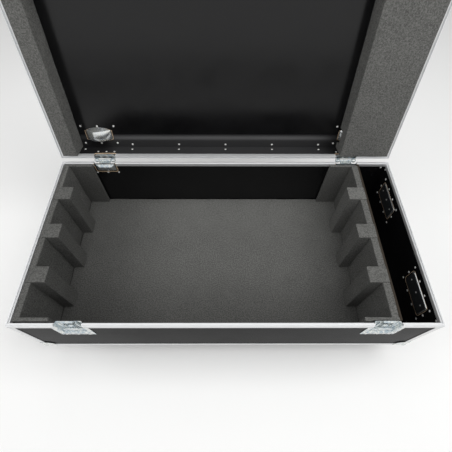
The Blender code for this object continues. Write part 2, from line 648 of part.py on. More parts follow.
def handles(add, steel, rubber):
    """Recessed spring handles: a dish with two lugs and a grip that hangs in it."""
    half = (HANDLE_BOWL_LENGTH / 2, HANDLE_BOWL_HEIGHT / 2)
    flange = (half[0] + HANDLE_FLANGE_END, half[1] + HANDLE_FLANGE_SIDE)
    grip_half = half[0] - GRIP_END_CLEARANCE
    inner_half = half[0] - SKIN
    axis = GRIP_AXIS_RISE
    deep = HANDLE_BOWL_DEPTH - SKIN
    for side, sign in (("left", -1), ("right", 1)):
        for where, along in (("front", -sign), ("rear", sign)):
            frame = wall_frame(side, along * HANDLE_Y, -HANDLE_DROP)
            plate = block((-flange[0], 0, -flange[1]), (flange[0], SKIN, flange[1]))
            outer = block((-half[0], 0, -half[1]), (half[0], HANDLE_BOWL_DEPTH, half[1]))
            inner = block((-inner_half, -CUT_OVERRUN, SKIN - half[1]), (inner_half, deep, half[1] - SKIN))
            name = f"handle_{side}_{where}"
            dish = add(f"{name}_dish", plate, steel, joins=[outer], cuts=[inner], frame=frame)
            for end in (-1, 1):
                reach = sorted((end * (grip_half + FIT_GAP), end * (half[0] - SKIN / 2)))
                lug = block(
                    (reach[0], SKIN, axis - LUG_HALF_HEIGHT),
                    (reach[1], deep + SKIN / 2, axis + LUG_HALF_HEIGHT),
                )
                bmesh.ops.transform(lug, matrix=frame, verts=lug.verts)
                helper(f"{name}_lug_{end + 1}", lug, dish, "UNION")
            bar_low = axis - GRIP_REACH
            bar_depth = GRIP_AXIS_DEPTH - GRIP_BAR_THICKNESS / 2
            corner = GRIP_BAR_THICKNESS / 4
            profile = [
                (bar_depth + corner, bar_low), (bar_depth + GRIP_BAR_THICKNESS - corner, bar_low),
                (bar_depth + GRIP_BAR_THICKNESS, bar_low + corner),
                (bar_depth + GRIP_BAR_THICKNESS, bar_low + GRIP_BAR_HEIGHT - corner),
                (bar_depth + GRIP_BAR_THICKNESS - corner, bar_low + GRIP_BAR_HEIGHT),
                (bar_depth + corner, bar_low + GRIP_BAR_HEIGHT),
                (bar_depth, bar_low + GRIP_BAR_HEIGHT - corner), (bar_depth, bar_low + corner),
            ]
            bar = prism(profile, -grip_half, grip_half, along="X")
            bmesh.ops.recalc_face_normals(bar, faces=bar.faces)
            arms = []
            arm_depth = GRIP_AXIS_DEPTH - GRIP_ARM_THICKNESS / 2
            for end in (-1, 1):
                reach = sorted((end * grip_half, end * (grip_half - GRIP_ARM_WIDTH)))
                arms.append(
                    block(
                        (reach[0], arm_depth, bar_low + corner),
                        (reach[1], arm_depth + GRIP_ARM_THICKNESS, axis),
                    )
                )
            barrel_ends = [(end * grip_half, GRIP_AXIS_DEPTH, axis) for end in (-1, 1)]
            barrel = rod(*barrel_ends, GRIP_BARREL_RADIUS)
            piece(
                f"{name}_grip",
                bar,
                rubber,
                joins=[barrel, *arms],
                frame=frame,
                origin=frame @ Vector((0, GRIP_AXIS_DEPTH, axis)),
            )


def cheeks(root_x, root_z, axle_x, axle_z):
    """The two side plates that run down to an axle."""
    tip = CHEEK_TIP / 2
    foot = axle_z - CHEEK_BELOW_AXLE
    outline = [
        (root_x - CHEEK_ROOT / 2, root_z), (axle_x - tip, axle_z), (axle_x - tip / 2, foot),
        (axle_x + tip / 2, foot), (axle_x + tip, axle_z), (root_x + CHEEK_ROOT / 2, root_z),
    ]
    near = HUB_WIDTH / 2 + FIT_GAP
    far = near + CHEEK_THICKNESS
    return [prism(outline, *sorted((side * near, side * far)), along="Y") for side in (-1, 1)]


def wheel(name, centre, parent, tyre):
    """A castor wheel: tread with rounded edges, dished faces and a bored hub."""
    half, hub = WHEEL_WIDTH / 2, HUB_WIDTH / 2
    profile = [
        (AXLE_RADIUS + FIT_GAP, -hub), (HUB_RADIUS, -hub), (HUB_RADIUS, WHEEL_DISH - half),
        (WHEEL_FACE_RADIUS, WHEEL_DISH - half), (WHEEL_FACE_RADIUS, -half),
        (WHEEL_RADIUS - WHEEL_EDGE, -half), (WHEEL_RADIUS, WHEEL_EDGE - half),
        (WHEEL_RADIUS, half - WHEEL_EDGE), (WHEEL_RADIUS - WHEEL_EDGE, half), (WHEEL_FACE_RADIUS, half),
        (WHEEL_FACE_RADIUS, half - WHEEL_DISH), (HUB_RADIUS, half - WHEEL_DISH), (HUB_RADIUS, hub),
        (AXLE_RADIUS + FIT_GAP, hub),
    ]
    shape = bmesh.new()
    rings = []
    for step in range(FINE_SIDES):
        angle = 2 * pi * step / FINE_SIDES
        rings.append([shape.verts.new((r * cos(angle), y, r * sin(angle))) for r, y in profile])
    for ring, after in zip(rings, rings[1:] + rings[:1]):
        for index in range(len(profile)):
            follow = (index + 1) % len(profile)
            shape.faces.new((ring[index], ring[follow], after[follow], after[index]))
    return piece(name, shape, tyre, frame=Matrix.Translation(centre), origin=centre, parent=parent)


def castors(add, steel, tyre):
    """Fixed castors on the left and swivelling ones on the right."""
    plate_top = UNDERSIDE - FIT_GAP
    plate_low = plate_top - CASTOR_PLATE_THICKNESS
    axle_z = UNDERSIDE + WHEEL_RADIUS - CASTOR_HEIGHT
    length, width = CASTOR_PLATE_LENGTH / 2, CASTOR_PLATE_WIDTH / 2
    axle_reach = HUB_WIDTH / 2 + FIT_GAP + CHEEK_THICKNESS + AXLE_END
    overlap = CASTOR_PLATE_THICKNESS / 2
    for where, sign in (("front", -1), ("rear", 1)):
        left = Matrix.Translation((-CASTOR_X, sign * CASTOR_Y, 0))
        plate = block((-length, -width, plate_low), (length, width, plate_top))
        axle = rod((0, -axle_reach, axle_z), (0, axle_reach, axle_z), AXLE_RADIUS)
        sides = cheeks(0, plate_low + overlap, 0, axle_z)
        add(f"castor_left_{where}_bracket", plate, steel, joins=[*sides, axle], frame=left)
        wheel(f"castor_left_{where}_wheel", left @ Vector((0, 0, axle_z)), None, tyre)
        right = Matrix.Translation((CASTOR_X - CASTOR_TRAIL, sign * CASTOR_Y, 0))
        race_low = plate_low - RACE_THICKNESS
        crown_top = race_low - FIT_GAP
        crown_low = crown_top - FORK_THICKNESS
        plate = block((-length, -width, plate_low), (length, width, plate_top))
        race = rod((0, 0, race_low), (0, 0, plate_low + overlap), RACE_RADIUS, FINE_SIDES)
        kingpin = rod((0, 0, crown_low - KINGPIN_END), (0, 0, plate_low), KINGPIN_RADIUS)
        add(f"castor_right_{where}_plate", plate, steel, joins=[race, kingpin], frame=right)
        crown = rod((0, 0, crown_low), (0, 0, crown_top), RACE_RADIUS, FINE_SIDES)
        bore_top, bore_low = crown_top + CUT_OVERRUN, crown_low - CUT_OVERRUN
        bore = rod((0, 0, bore_low), (0, 0, bore_top), KINGPIN_RADIUS + FIT_GAP)
        axle = rod(
            (CASTOR_TRAIL, -axle_reach, axle_z), (CASTOR_TRAIL, axle_reach, axle_z), AXLE_RADIUS
        )
        sides = cheeks(0, (crown_low + crown_top) / 2, CASTOR_TRAIL, axle_z)
        fork = piece(
            f"castor_right_{where}_fork",
            crown,
            steel,
            joins=[*sides, axle],
            cuts=[bore],
            frame=right,
            origin=right @ Vector((0, 0, crown_low)),
        )
        wheel(f"castor_right_{where}_wheel", right @ Vector((CASTOR_TRAIL, 0, axle_z)), fork, tyre)


def cup_outline(radius, level):
    """The segment of a circle, in X and v, that lies below a level; the wheel sinks into it."""
    centre = LID_SKIN_TOP - CUP_DEPTH + CUP_RADIUS
    reach = acos((centre - level) / radius)
    angles = [reach * (2 * step / CUP_STEPS - 1) for step in range(CUP_STEPS + 1)]
    return [(radius * sin(angle), centre - radius * cos(angle)) for angle in angles]


def lid(add_to_lid, ply, aluminium, foam, steel):
    """Top panel, walls, rim, edging, foam blocks and wheel cups of the lid."""
    out = (HALF_LENGTH - PANEL_OUT, HALF_WIDTH - PANEL_OUT)
    inside = (HALF_LENGTH - PANEL_IN, HALF_WIDTH - PANEL_IN)
    within = [half - FIT_GAP for half in inside]
    cup_half = sqrt(CUP_RADIUS**2 - (CUP_RADIUS - CUP_DEPTH) ** 2) + SKIN + FIT_GAP
    cup_side = CUP_WIDTH / 2 + FIT_GAP
    holes = []
    for x in (-CASTOR_X, CASTOR_X):
        for y in (-CASTOR_Y, CASTOR_Y):
            low = (x - cup_half, y - cup_side, RIM + LID_INNER_HEIGHT - CUT_OVERRUN)
            holes.append(block(low, (x + cup_half, y + cup_side, RIM + LID_TOP + CUT_OVERRUN)))
    top_low = (-within[0], -within[1], RIM + LID_INNER_HEIGHT)
    add_to_lid("lid_top_panel", block(top_low, (within[0], within[1], RIM + LID_TOP)), ply, cuts=holes)
    foot, head = RIM + LID_PANEL_FOOT, RIM + LID_TOP
    hollow = block((-inside[0], -inside[1], foot - CUT_OVERRUN), (inside[0], inside[1], head + CUT_OVERRUN))
    latch_rise = LATCH_BOWL_RISE + FIT_GAP
    latch_cuts = panel_cuts("front", LATCH_X.values(), LATCH_BOWL_WIDTH / 2, 0, latch_rise)
    hinge_rise = HINGE_BOWL_RISE + FIT_GAP
    hinge_cuts = panel_cuts("rear", (-HINGE_X, HINGE_X), HINGE_BOWL_WIDTH / 2, 0, hinge_rise)
    walls = block((-out[0], -out[1], foot), (out[0], out[1], head))
    add_to_lid("lid_walls", walls, ply, cuts=[hollow, *latch_cuts, *hinge_cuts])
    rims(lid_section(), "lid", add_to_lid, aluminium)
    edging("lid_edging", add_to_lid, aluminium, OUTER_LEG + FIT_GAP, LID_SKIN_TOP, False)

    edge = (HALF_LENGTH - FOAM_OUT, HALF_WIDTH - FOAM_OUT)
    foam_low = FOAM_TOP + FIT_GAP
    foam_high = RIM + LID_INNER_HEIGHT - FIT_GAP
    left = block((-edge[0], -edge[1], foam_low), (LID_FOAM_LEFT_WIDTH - edge[0], edge[1], foam_high))
    add_to_lid("lid_left_foam", left, foam)
    face = edge[0] - LID_FOAM_RIGHT_WIDTH
    right = block((face, -edge[1], foam_low), (edge[0], edge[1], foam_high))
    pockets = []
    for side, place, width, depth, rise in (
        (-1, LATCH_X["right"], LATCH_BOWL_WIDTH, LATCH_BOWL_DEPTH, LATCH_BOWL_RISE),
        (1, HINGE_X, HINGE_BOWL_WIDTH, HINGE_BOWL_DEPTH, HINGE_BOWL_RISE),
    ):
        reach = sorted((side * HALF_WIDTH, side * (HALF_WIDTH - depth - FIT_GAP)))
        high = (place + width / 2 + FIT_GAP, reach[1], RIM + rise + FIT_GAP)
        pockets.append(block((face - CUT_OVERRUN, reach[0], foam_low - CUT_OVERRUN), high))
        cup_y = side * CASTOR_Y
        low = (face - CUT_OVERRUN, cup_y - cup_side, RIM + LID_SKIN_TOP - CUP_DEPTH - SKIN - FIT_GAP)
        pockets.append(block(low, (CASTOR_X + cup_half, cup_y + cup_side, foam_high + CUT_OVERRUN)))
    add_to_lid("lid_right_foam", right, foam, cuts=pockets)

    plate_half = (CUP_PLATE_LENGTH / 2, CUP_PLATE_WIDTH / 2)
    half = CUP_WIDTH / 2
    for side, x in (("left", -CASTOR_X), ("right", CASTOR_X)):
        for where, y in (("front", -CASTOR_Y), ("rear", CASTOR_Y)):
            frame = Matrix.Translation((x, y, RIM))
            plate = block(
                (-plate_half[0], -plate_half[1], LID_SKIN_TOP - SKIN),
                (plate_half[0], plate_half[1], LID_SKIN_TOP),
            )
            shell = prism(cup_outline(CUP_RADIUS + SKIN, LID_SKIN_TOP - SKIN / 2), -half, half, along="Y")
            mouth = cup_outline(CUP_RADIUS, LID_SKIN_TOP + CUT_OVERRUN)
            hollow = prism(mouth, SKIN - half, half - SKIN, along="Y")
            add_to_lid(f"wheel_cup_{side}_{where}", plate, steel, joins=[shell], cuts=[hollow], frame=frame)


def main():
    clear_scene()
    ply = finish("black_laminate_plywood", (0.012, 0.012, 0.013), 0.35, 0.0)
    aluminium = finish("anodised_aluminium", (0.80, 0.81, 0.82), 0.35, 1.0)
    foam = finish("charcoal_foam", (0.09, 0.09, 0.09), 0.95, 0.0)
    steel = finish("zinc_plated_steel", (0.66, 0.70, 0.74), 0.25, 1.0)
    rubber = finish("black_rubber", (0.02, 0.02, 0.02), 0.6, 0.0)
    tyre = finish("grey_tyre", (0.05, 0.05, 0.055), 0.6, 0.0)
    pivot = bpy.data.objects.new("lid_pivot", None)
    pivot.location = HINGE_POINT
    pivot.rotation_euler = (-LID_OPEN_ANGLE, 0, 0)
    bpy.context.scene.collection.objects.link(pivot)
    bpy.context.view_layer.update()

    def add(name, shape, material, **more):
        return piece(name, shape, material, **more)

    def add_to_lid(name, shape, material, **more):
        return lid_piece(name, shape, material, pivot, **more)

    base_panels(add, ply)
    rims(base_section(), "base", add, aluminium)
    edging("base_edging", add, aluminium, -BASE_HEIGHT - FIT_GAP - SKIN, -OUTER_LEG - FIT_GAP, True)
    base_foam(add, foam, ply)
    hinges(add, add_to_lid, steel)
    latches(add, add_to_lid, steel)
    handles(add, steel, rubber)
    castors(add, steel, tyre)
    lid(add_to_lid, ply, aluminium, foam, steel)


main()
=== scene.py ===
"""The looks of a lighting flight case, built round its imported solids.

Lengths are in metres and places are the solids' own. Fittings on a wall are drawn in that wall's
coordinates: s along the wall, u inwards from the case's outer face and v up from the rim, where lid and
base meet. The lid's pieces are drawn with the lid closed and then turned open about the hinge axis.
"""

import json
from math import cos, pi, radians, sin, sqrt

import bmesh
import bpy
import numpy as np
from mathutils import Matrix, Vector


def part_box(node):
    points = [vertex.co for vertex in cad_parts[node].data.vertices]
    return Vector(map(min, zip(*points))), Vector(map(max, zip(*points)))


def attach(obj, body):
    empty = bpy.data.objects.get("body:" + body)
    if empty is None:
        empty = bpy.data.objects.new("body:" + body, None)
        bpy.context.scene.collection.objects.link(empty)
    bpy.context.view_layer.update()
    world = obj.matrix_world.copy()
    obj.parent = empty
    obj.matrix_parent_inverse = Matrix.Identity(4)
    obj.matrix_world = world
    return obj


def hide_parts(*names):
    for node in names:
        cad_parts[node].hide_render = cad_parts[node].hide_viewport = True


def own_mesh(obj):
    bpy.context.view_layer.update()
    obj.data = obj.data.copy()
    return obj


bl_info = {
    "name": "Lighting Flight Case",
    "version": (1, 0, 0),
    "blender": (4, 5, 0),
    "location": "View3D > Sidebar > Flight Case",
    "description": "Dresses the solids of a lighting flight case with extrusions, foam and hardware",
    "category": "Object",
}

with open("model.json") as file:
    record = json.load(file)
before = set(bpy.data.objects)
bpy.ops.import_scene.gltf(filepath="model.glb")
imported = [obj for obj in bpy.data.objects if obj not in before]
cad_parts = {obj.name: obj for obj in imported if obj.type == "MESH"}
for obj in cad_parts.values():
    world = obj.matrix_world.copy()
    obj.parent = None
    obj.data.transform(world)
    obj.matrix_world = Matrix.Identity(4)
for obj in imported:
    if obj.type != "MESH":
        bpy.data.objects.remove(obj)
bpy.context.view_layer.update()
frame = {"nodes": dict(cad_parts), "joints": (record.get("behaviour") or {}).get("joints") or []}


def corners(node):
    """Lowest and highest corner of a solid, as arrays."""
    low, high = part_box(node)
    return np.array(low), np.array(high)


def middle(node):
    low, high = corners(node)
    return (low + high) / 2


LID_JOINT = next(joint for joint in frame["joints"] if joint["name"] == "lid_hinge")
HINGE = np.array(LID_JOINT["pos_m"], float)
OPEN_ANGLE = radians(LID_JOINT["range_deg"][1])
RIM = HINGE[2]
UNDERSIDE = corners("bottom_panel")[0][2]
HALF_LENGTH = -corners("base_rim_left")[0][0]
HALF_WIDTH = -corners("base_rim_left")[0][1]
RIM_IN = np.ptp([corners("base_rim_front")[k][1] for k in (0, 1)])
OUTER_LEG = RIM - corners("base_rim_front")[0][2]
TONGUE_HEIGHT = corners("base_rim_front")[1][2] - RIM
PANEL_IN = HALF_WIDTH + corners("front_panel")[1][1]
LATCH_X = {side: middle(f"latch_{side}_dish")[0] for side in ("left", "right")}
HINGE_X = middle("hinge_right_base_half")[0]
CASTOR_X = middle("castor_right_front_wheel")[0]
CASTOR_Y = middle("castor_right_rear_wheel")[1]
HANDLE_Y = middle("handle_right_rear_dish")[1]
HANDLE_V = middle("handle_right_rear_dish")[2] - RIM
GROUND = corners("castor_right_front_wheel")[0][2]

# Running clearance, sheet thickness and the rims' cross sections
GAP = 0.0003
SKIN = 0.0013
WEB = 0.002
BASE_INNER_LEG = 0.013
LID_INNER_LEG = 0.0172
TONGUE_START = 0.0025
TONGUE_WIDTH = 0.0038
GROOVE_PLAY = 0.0008

# Heights above the rim: the inner face of the lid's panel, and the outside of its edging
LID_INNER_HEIGHT = 0.068
LID_SKIN_TOP = 0.0761

# Pressed bowls: half width, drop below the rim (or half height) and depth. The latch's ends with its rise
LATCH_BOWL = (0.0385, 0.075, 0.0153, 0.031)
HINGE_BOWL = (0.0385, 0.0415, 0.014)
HINGE_LID_BOWL = (0.0385, 0.0199, 0.014)
HANDLE_BOWL = (0.0633, 0.031, 0.0097)
BOWL_BEND = 0.007
HANDLE_BEND = 0.009
SCOOP_TOP = 0.0075
FLANGE_HALF = 0.051
HANDLE_FLANGE = 0.014

# Wheel cups: the trough's arc, half length, flat width and draft, its plate, and its hole in the panel
CUP_RADIUS = 0.061
CUP_DEPTH = 0.028
CUP_HALF = 0.0475
CUP_TOP_HALF = 0.018
CUP_DRAFT = 0.571
CUP_END_DRAFT = 0.2
CUP_CROWN = 0.0016
CUP_PLATE = (0.0675, 0.040)
CUP_HOLE_END = 0.0185
CUP_CUT = (1.034, 1.012)

# Bare plywood in the lid: where it starts above the rim, and its width by the hinges
LID_CUT_TOP = 0.004
HINGE_LID_CUT = 0.0037

# Foam in the base: spans along X of walls, ribs and pads, places along Y, laps, and each piece's brightness,
# which is painted light and shade: lighter where a block is lit, darker where it is shaded
WALL_SPAN = {"left": (-0.586, -0.5650), "right": (0.4570, 0.4779)}
RIB_SPAN = {"left": (-0.586, -0.524), "right": (0.4195, 0.4779)}
PAD_SPAN = {"left": (-0.586, -0.485), "right": (0.382, 0.4779)}
RIB_PLACES = (-0.150, 0.0, 0.150)
RIB_HALF = 0.0255
PAD_FACE = 0.2761
PAD_END = 0.2868
BOWL_NOTCH = 0.4042
CLEAR_OF_BOWLS = 0.2844
LAP = 0.0006
FACING = 0.0095
FOAM_LEFT = -0.58
LEAN = 0.667
FOAM_PAINTED_LIGHT = {"left": (1.0, 1.0, 1.04, 1.04), "right": (1.14, 1.14, 1.2, 1.42)}
BACK_PAINTED_SHADE = 0.92
FACING_PAINTED_LIGHT = 1.22
FLOOR_PAINTED_LIGHT = 1.16

# Foam in the lid: spans along X, the layer that is cut back round the wheel cups, and its brightness, which
# is painted light
LID_FOAM_SPAN = {"left": (-0.590, -0.538), "right": (0.418, 0.590)}
LID_FOAM_PAINTED_LIGHT = 1.4
CUP_FACE = 0.4275
CUP_LEDGE = 0.024
CUP_GAP = 0.0285

# Rivets: their rows' distances from the case's edges, their pitch, and where the foam hides the tails
EDGE_ROW = 0.0085
TOP_ROW = 0.0189
TOP_END_ROW = 0.0113
LID_WALL_ROW = 0.0164
ROW_PITCH = 0.1752
END_PLACES = (-0.18, -0.06, 0.06, 0.18)
FOAM_HIDES = 0.41

# The painted glow on the lid's panel, a painted reflection of the lid's rim in the film: distances from its
# lower edge, and where it fades along X
PAINTED_GLOW_START = 0.026
PAINTED_GLOW_PEAK = 0.039
PAINTED_GLOW_END = 0.055
PAINTED_GLOW_LEFT = (-0.46, -0.40)
PAINTED_GLOW_RIGHT = (0.33, 0.42)

# How far the studio's floor reaches from the middle
FLOOR_REACH = 14.0

# A face of the panels looks outwards where its place times its normal is more than this
OUTWARD = 0.2


def linear(code):
    """An sRGB hex value such as #1b1c1e as linear red, green, blue and a full alpha."""
    parts = [int(code[place:place + 2], 16) / 255 for place in (1, 3, 5)]
    return (*[c / 12.92 if c <= 0.04045 else ((c + 0.055) / 1.055) ** 2.4 for c in parts], 1.0)


def per_metre(millimetres):
    """A texture's scale from the real size of one of its features."""
    return 1000 / millimetres


def length(name, default, description):
    return bpy.props.FloatProperty(
        name=name, default=default, description=description, unit="LENGTH", subtype="DISTANCE", precision=5
    )


def colour(name, code, description):
    return bpy.props.FloatVectorProperty(
        name=name, default=linear(code), description=description, subtype="COLOR", size=4, min=0, max=1
    )


class FLIGHTCASE_PG_sizes(bpy.types.PropertyGroup):
    """Sizes of the pieces that are modelled over the solids."""

    rivet_radius: length("Rivet head radius", 0.0040, "Radius of a domed rivet head outside")
    rivet_height: length("Rivet head height", 0.0014, "How far a rivet head stands out")
    tail_radius: length("Rivet tail radius", 0.0028, "Radius of a set rivet tail inside the case")
    washer_radius: length("Rivet washer radius", 0.0038, "Radius of the washer under a rivet tail")
    foam_edge: length("Foam edge radius", 0.0016, "Rounding of the foam blocks' cut edges")
    foam_wave: length("Foam unevenness", 0.0006, "How far the foam's faces wander from flat")
    rib_rise: length("Ribs above the rim", 0.009, "Height of the foam ribs above the rim plane")
    wall_rise: length("Foam walls above the rim", 0.006, "Height of the foam walls above the rim plane")
    pad_rise: length("Pads above the rim", 0.0015, "Height of the corner pads above the rim plane")
    lid_foam_rise: length("Lid foam past the rim", 0.0019, "How far the lid's foam passes the rim plane")
    foam_grid: length("Foam grid step", 0.006, "Spacing of the points on the foam's faces")
    extrusion_round: length("Extrusion corner radius", 0.0006, "Rounding of the extrusions' corners")
    angle_round: length("Angle corner radius", 0.0022, "Rounding of the angle extrusions' outer corner")
    cut_width: length("Bare cut width", 0.0030, "Width of the bare plywood seen round a cut-out")
    handle_cut: length("Handle cut width", 0.0009, "Width of the bare plywood seen round a handle's cut-out")
    cap_leg: length("Corner cap leg", 0.044, "Length of a corner cap along each edge")
    cap_rise: length("Corner cap rise", 0.0013, "How far a corner cap stands out of the case")


class FLIGHTCASE_PG_colours(bpy.types.PropertyGroup):
    """Colours of the finishes."""

    laminate: colour("Laminate", "#111112", "Black phenolic film on the plywood")
    plywood: colour("Plywood", "#dcc0a0", "Bare birch plywood at the cut edges")
    aluminium: colour("Aluminium", "#ecedee", "Clear anodised extrusions")
    foam: colour("Foam", "#5b5b59", "Charcoal closed-cell foam")
    zinc: colour("Zinc", "#e2e5e7", "Bright zinc plate with a blue passivate")
    grip: colour("Grip rubber", "#141415", "Moulded rubber of the handles' grips")
    tyre: colour("Tyre rubber", "#3a3b3d", "Grey elastic rubber of the castor wheels")
    core: colour("Wheel core", "#17181a", "Moulded nylon core of the castor wheels")
    rivet: colour("Rivets", "#f4f4f2", "Tumbled aluminium of the rivets")
    # A dark plate behind each handle's dish: a painted reflection of the dark compartment mirrored in the
    # dish's back
    coated: colour("Coated steel", "#1d1f21", "Black coated steel sheet behind the handles")
    # Colour of the painted glow in the lid's lower corner: a painted reflection of the lid's rim in the film
    dust: colour("Dust", "#5e5e5f", "Dust on the film in the lid's lower corner")
    floor: colour("Floor", "#f4f4f3", "Studio floor")


def sizes():
    return bpy.context.scene.flight_case_sizes


def colours():
    return bpy.context.scene.flight_case_colours


def add_node(tree, kind, links=None, **settings):
    """Adds a node with its settings; links gives each input a value, or the output that feeds it."""
    node = tree.nodes.new(kind)
    for name, value in settings.items():
        setattr(node, name, value)
    for name, value in (links or {}).items():
        if isinstance(value, bpy.types.NodeSocket):
            tree.links.new(value, node.inputs[name])
        else:
            node.inputs[name].default_value = value
    return node


def start_material(name, base, roughness, **inputs):
    """A Principled material, with its tree, its shader and Object coordinates to draw patterns on."""
    material = bpy.data.materials.new(name)
    material.use_nodes = True
    tree = material.node_tree
    shader = tree.nodes["Principled BSDF"]
    shader.inputs["Base Color"].default_value = base
    shader.inputs["Roughness"].default_value = roughness
    for socket, value in inputs.items():
        shader.inputs[socket.replace("_", " ")].default_value = value
    place = add_node(tree, "ShaderNodeTexCoord")
    return material, tree, shader, place


def noise(tree, vector, millimetres, detail=2.0, roughness=0.5):
    return add_node(
        tree,
        "ShaderNodeTexNoise",
        {"Vector": vector, "Scale": per_metre(millimetres), "Detail": detail, "Roughness": roughness},
    ).outputs["Fac"]


def blend_of(tree, share, first, second):
    """A colour between two, by a share from 0 to 1."""
    mix = add_node(tree, "ShaderNodeMix", {"Factor": share}, data_type="RGBA")
    for socket, value in ((6, first), (7, second)):
        if isinstance(value, bpy.types.NodeSocket):
            tree.links.new(value, mix.inputs[socket])
        else:
            mix.inputs[socket].default_value = value
    return mix.outputs[2]


def fitted(tree, value, low, high, to_low, to_high, course="LINEAR"):
    """A value carried from one range to another."""
    links = {"Value": value, "From Min": low, "From Max": high, "To Min": to_low, "To Max": to_high}
    return add_node(tree, "ShaderNodeMapRange", links, interpolation_type=course).outputs["Result"]


def feed(tree, shader, socket, output):
    tree.links.new(output, shader.inputs[socket])


def relief(tree, shader, height, strength, distance):
    bump = add_node(tree, "ShaderNodeBump", {"Height": height, "Strength": strength, "Distance": distance})
    feed(tree, shader, "Normal", bump.outputs["Normal"])


def shaded(base, factor):
    """A colour made darker or lighter."""
    return (*[min(1.0, channel * factor) for channel in base[:3]], 1.0)


def laminate_material(name="black_phenolic_film", dust=False):
    """Birch plywood faced with black phenolic film: smooth and softly mirroring inside, matt outside.

    In the lid a grey glow is painted along the edge by the hinges, a painted reflection of the lid's rim in
    the film:
    a soft band on the panel, and a thin film between it and the rim.
    """
    base = tuple(colours().laminate)
    material, tree, shader, place = start_material(name, base, 0.18, IOR=1.5)
    smears = noise(tree, place.outputs["Object"], 90, detail=4)
    grain = noise(tree, place.outputs["Object"], 2.2, detail=2)
    film = blend_of(tree, smears, shaded(base, 0.7), shaded(base, 1.4))
    if dust:
        turn = (cos(OPEN_ANGLE), sin(OPEN_ANGLE))
        shift = (
            0.0,
            HINGE[1] - turn[0] * HINGE[1] + turn[1] * HINGE[2],
            HINGE[2] - turn[1] * HINGE[1] - turn[0] * HINGE[2],
        )
        closed = add_node(
            tree,
            "ShaderNodeMapping",
            {"Vector": place.outputs["Object"], "Location": shift, "Rotation": (OPEN_ANGLE, 0.0, 0.0)},
            vector_type="POINT",
        )
        spot = add_node(tree, "ShaderNodeSeparateXYZ", {"Vector": closed.outputs["Vector"]}).outputs
        rear = HALF_WIDTH - PANEL_IN
        ceiling = RIM + LID_INNER_HEIGHT
        cover = fitted(tree, noise(tree, place.outputs["Object"], 260), 0.3, 0.7, 0.8, 1.0)
        for axis, low, high, to_low, to_high in (
            ("Y", rear - PAINTED_GLOW_END, rear - PAINTED_GLOW_PEAK, 0.0, 1.0),
            ("Y", rear - PAINTED_GLOW_PEAK, rear - PAINTED_GLOW_START, 1.0, 0.3),
            ("X", *PAINTED_GLOW_LEFT, 0.35, 1.0),
            ("X", *PAINTED_GLOW_RIGHT, 1.0, 0.3),
            ("Z", ceiling + 0.0010, ceiling + 0.0011, 1.0, 0.0),
        ):
            factor = fitted(tree, spot[axis], low, high, to_low, to_high, "SMOOTHSTEP")
            cover = add_node(tree, "ShaderNodeMath", {0: cover, 1: factor}, operation="MULTIPLY").outputs[0]
        # The glow is a painted reflection: the lid's rim mirrored in the film, painted into its colour
        film = blend_of(tree, cover, film, tuple(colours().dust))
    feed(tree, shader, "Base Color", film)
    feed(tree, shader, "Roughness", fitted(tree, smears, 0.3, 0.7, 0.14, 0.22))
    relief(tree, shader, grain, 0.03, 0.0002)
    ahead = add_node(
        tree,
        "ShaderNodeVectorMath",
        {0: place.outputs["Object"], 1: place.outputs["Normal"]},
        operation="DOT_PRODUCT",
    )
    outside = add_node(
        tree, "ShaderNodeMath", {0: ahead.outputs["Value"], 1: OUTWARD}, operation="GREATER_THAN"
    ).outputs[0]
    feed(tree, shader, "Specular IOR Level", fitted(tree, outside, 0, 1, 0.34, 0.01))
    return material


def plywood_material():
    """Sawn birch plywood: cream plies with thin darker glue lines across the board's thickness."""
    base = tuple(colours().plywood)
    material, tree, shader, place = start_material("sawn_birch_plywood", base, 0.75)
    plies = add_node(
        tree,
        "ShaderNodeTexWave",
        {"Vector": place.outputs["Object"], "Scale": per_metre(1.3) / (2 * pi), "Distortion": 0.6},
        bands_direction="X",
    )
    fibres = noise(tree, place.outputs["Object"], 3, detail=4)
    dark = blend_of(tree, fibres, shaded(base, 0.62), base)
    feed(tree, shader, "Base Color", blend_of(tree, plies.outputs["Fac"], dark, base))
    relief(tree, shader, fibres, 0.3, 0.0003)
    return material


def divider_material():
    """Plywood board with phenolic film on both faces and sawn plies along its edges."""
    base = tuple(colours().laminate)
    wood = tuple(colours().plywood)
    material, tree, shader, place = start_material("film_faced_plywood_board", base, 0.3, IOR=1.5)
    turned_up = add_node(tree, "ShaderNodeSeparateXYZ", {"Vector": place.outputs["Normal"]})
    across = add_node(tree, "ShaderNodeMath", {0: turned_up.outputs["X"]}, operation="ABSOLUTE")
    edge = add_node(tree, "ShaderNodeMath", {0: across.outputs[0], 1: 0.5}, operation="LESS_THAN")
    plies = add_node(
        tree,
        "ShaderNodeTexWave",
        {"Vector": place.outputs["Object"], "Scale": per_metre(1.3) / (2 * pi), "Distortion": 0.4},
        bands_direction="X",
    )
    sawn = blend_of(tree, plies.outputs["Fac"], shaded(wood, 0.015), shaded(wood, 0.05))
    feed(tree, shader, "Base Color", blend_of(tree, edge.outputs[0], base, sawn))
    feed(tree, shader, "Roughness", fitted(tree, edge.outputs[0], 0, 1, 0.22, 0.8))
    relief(tree, shader, noise(tree, place.outputs["Object"], 2.2), 0.1, 0.0002)
    return material


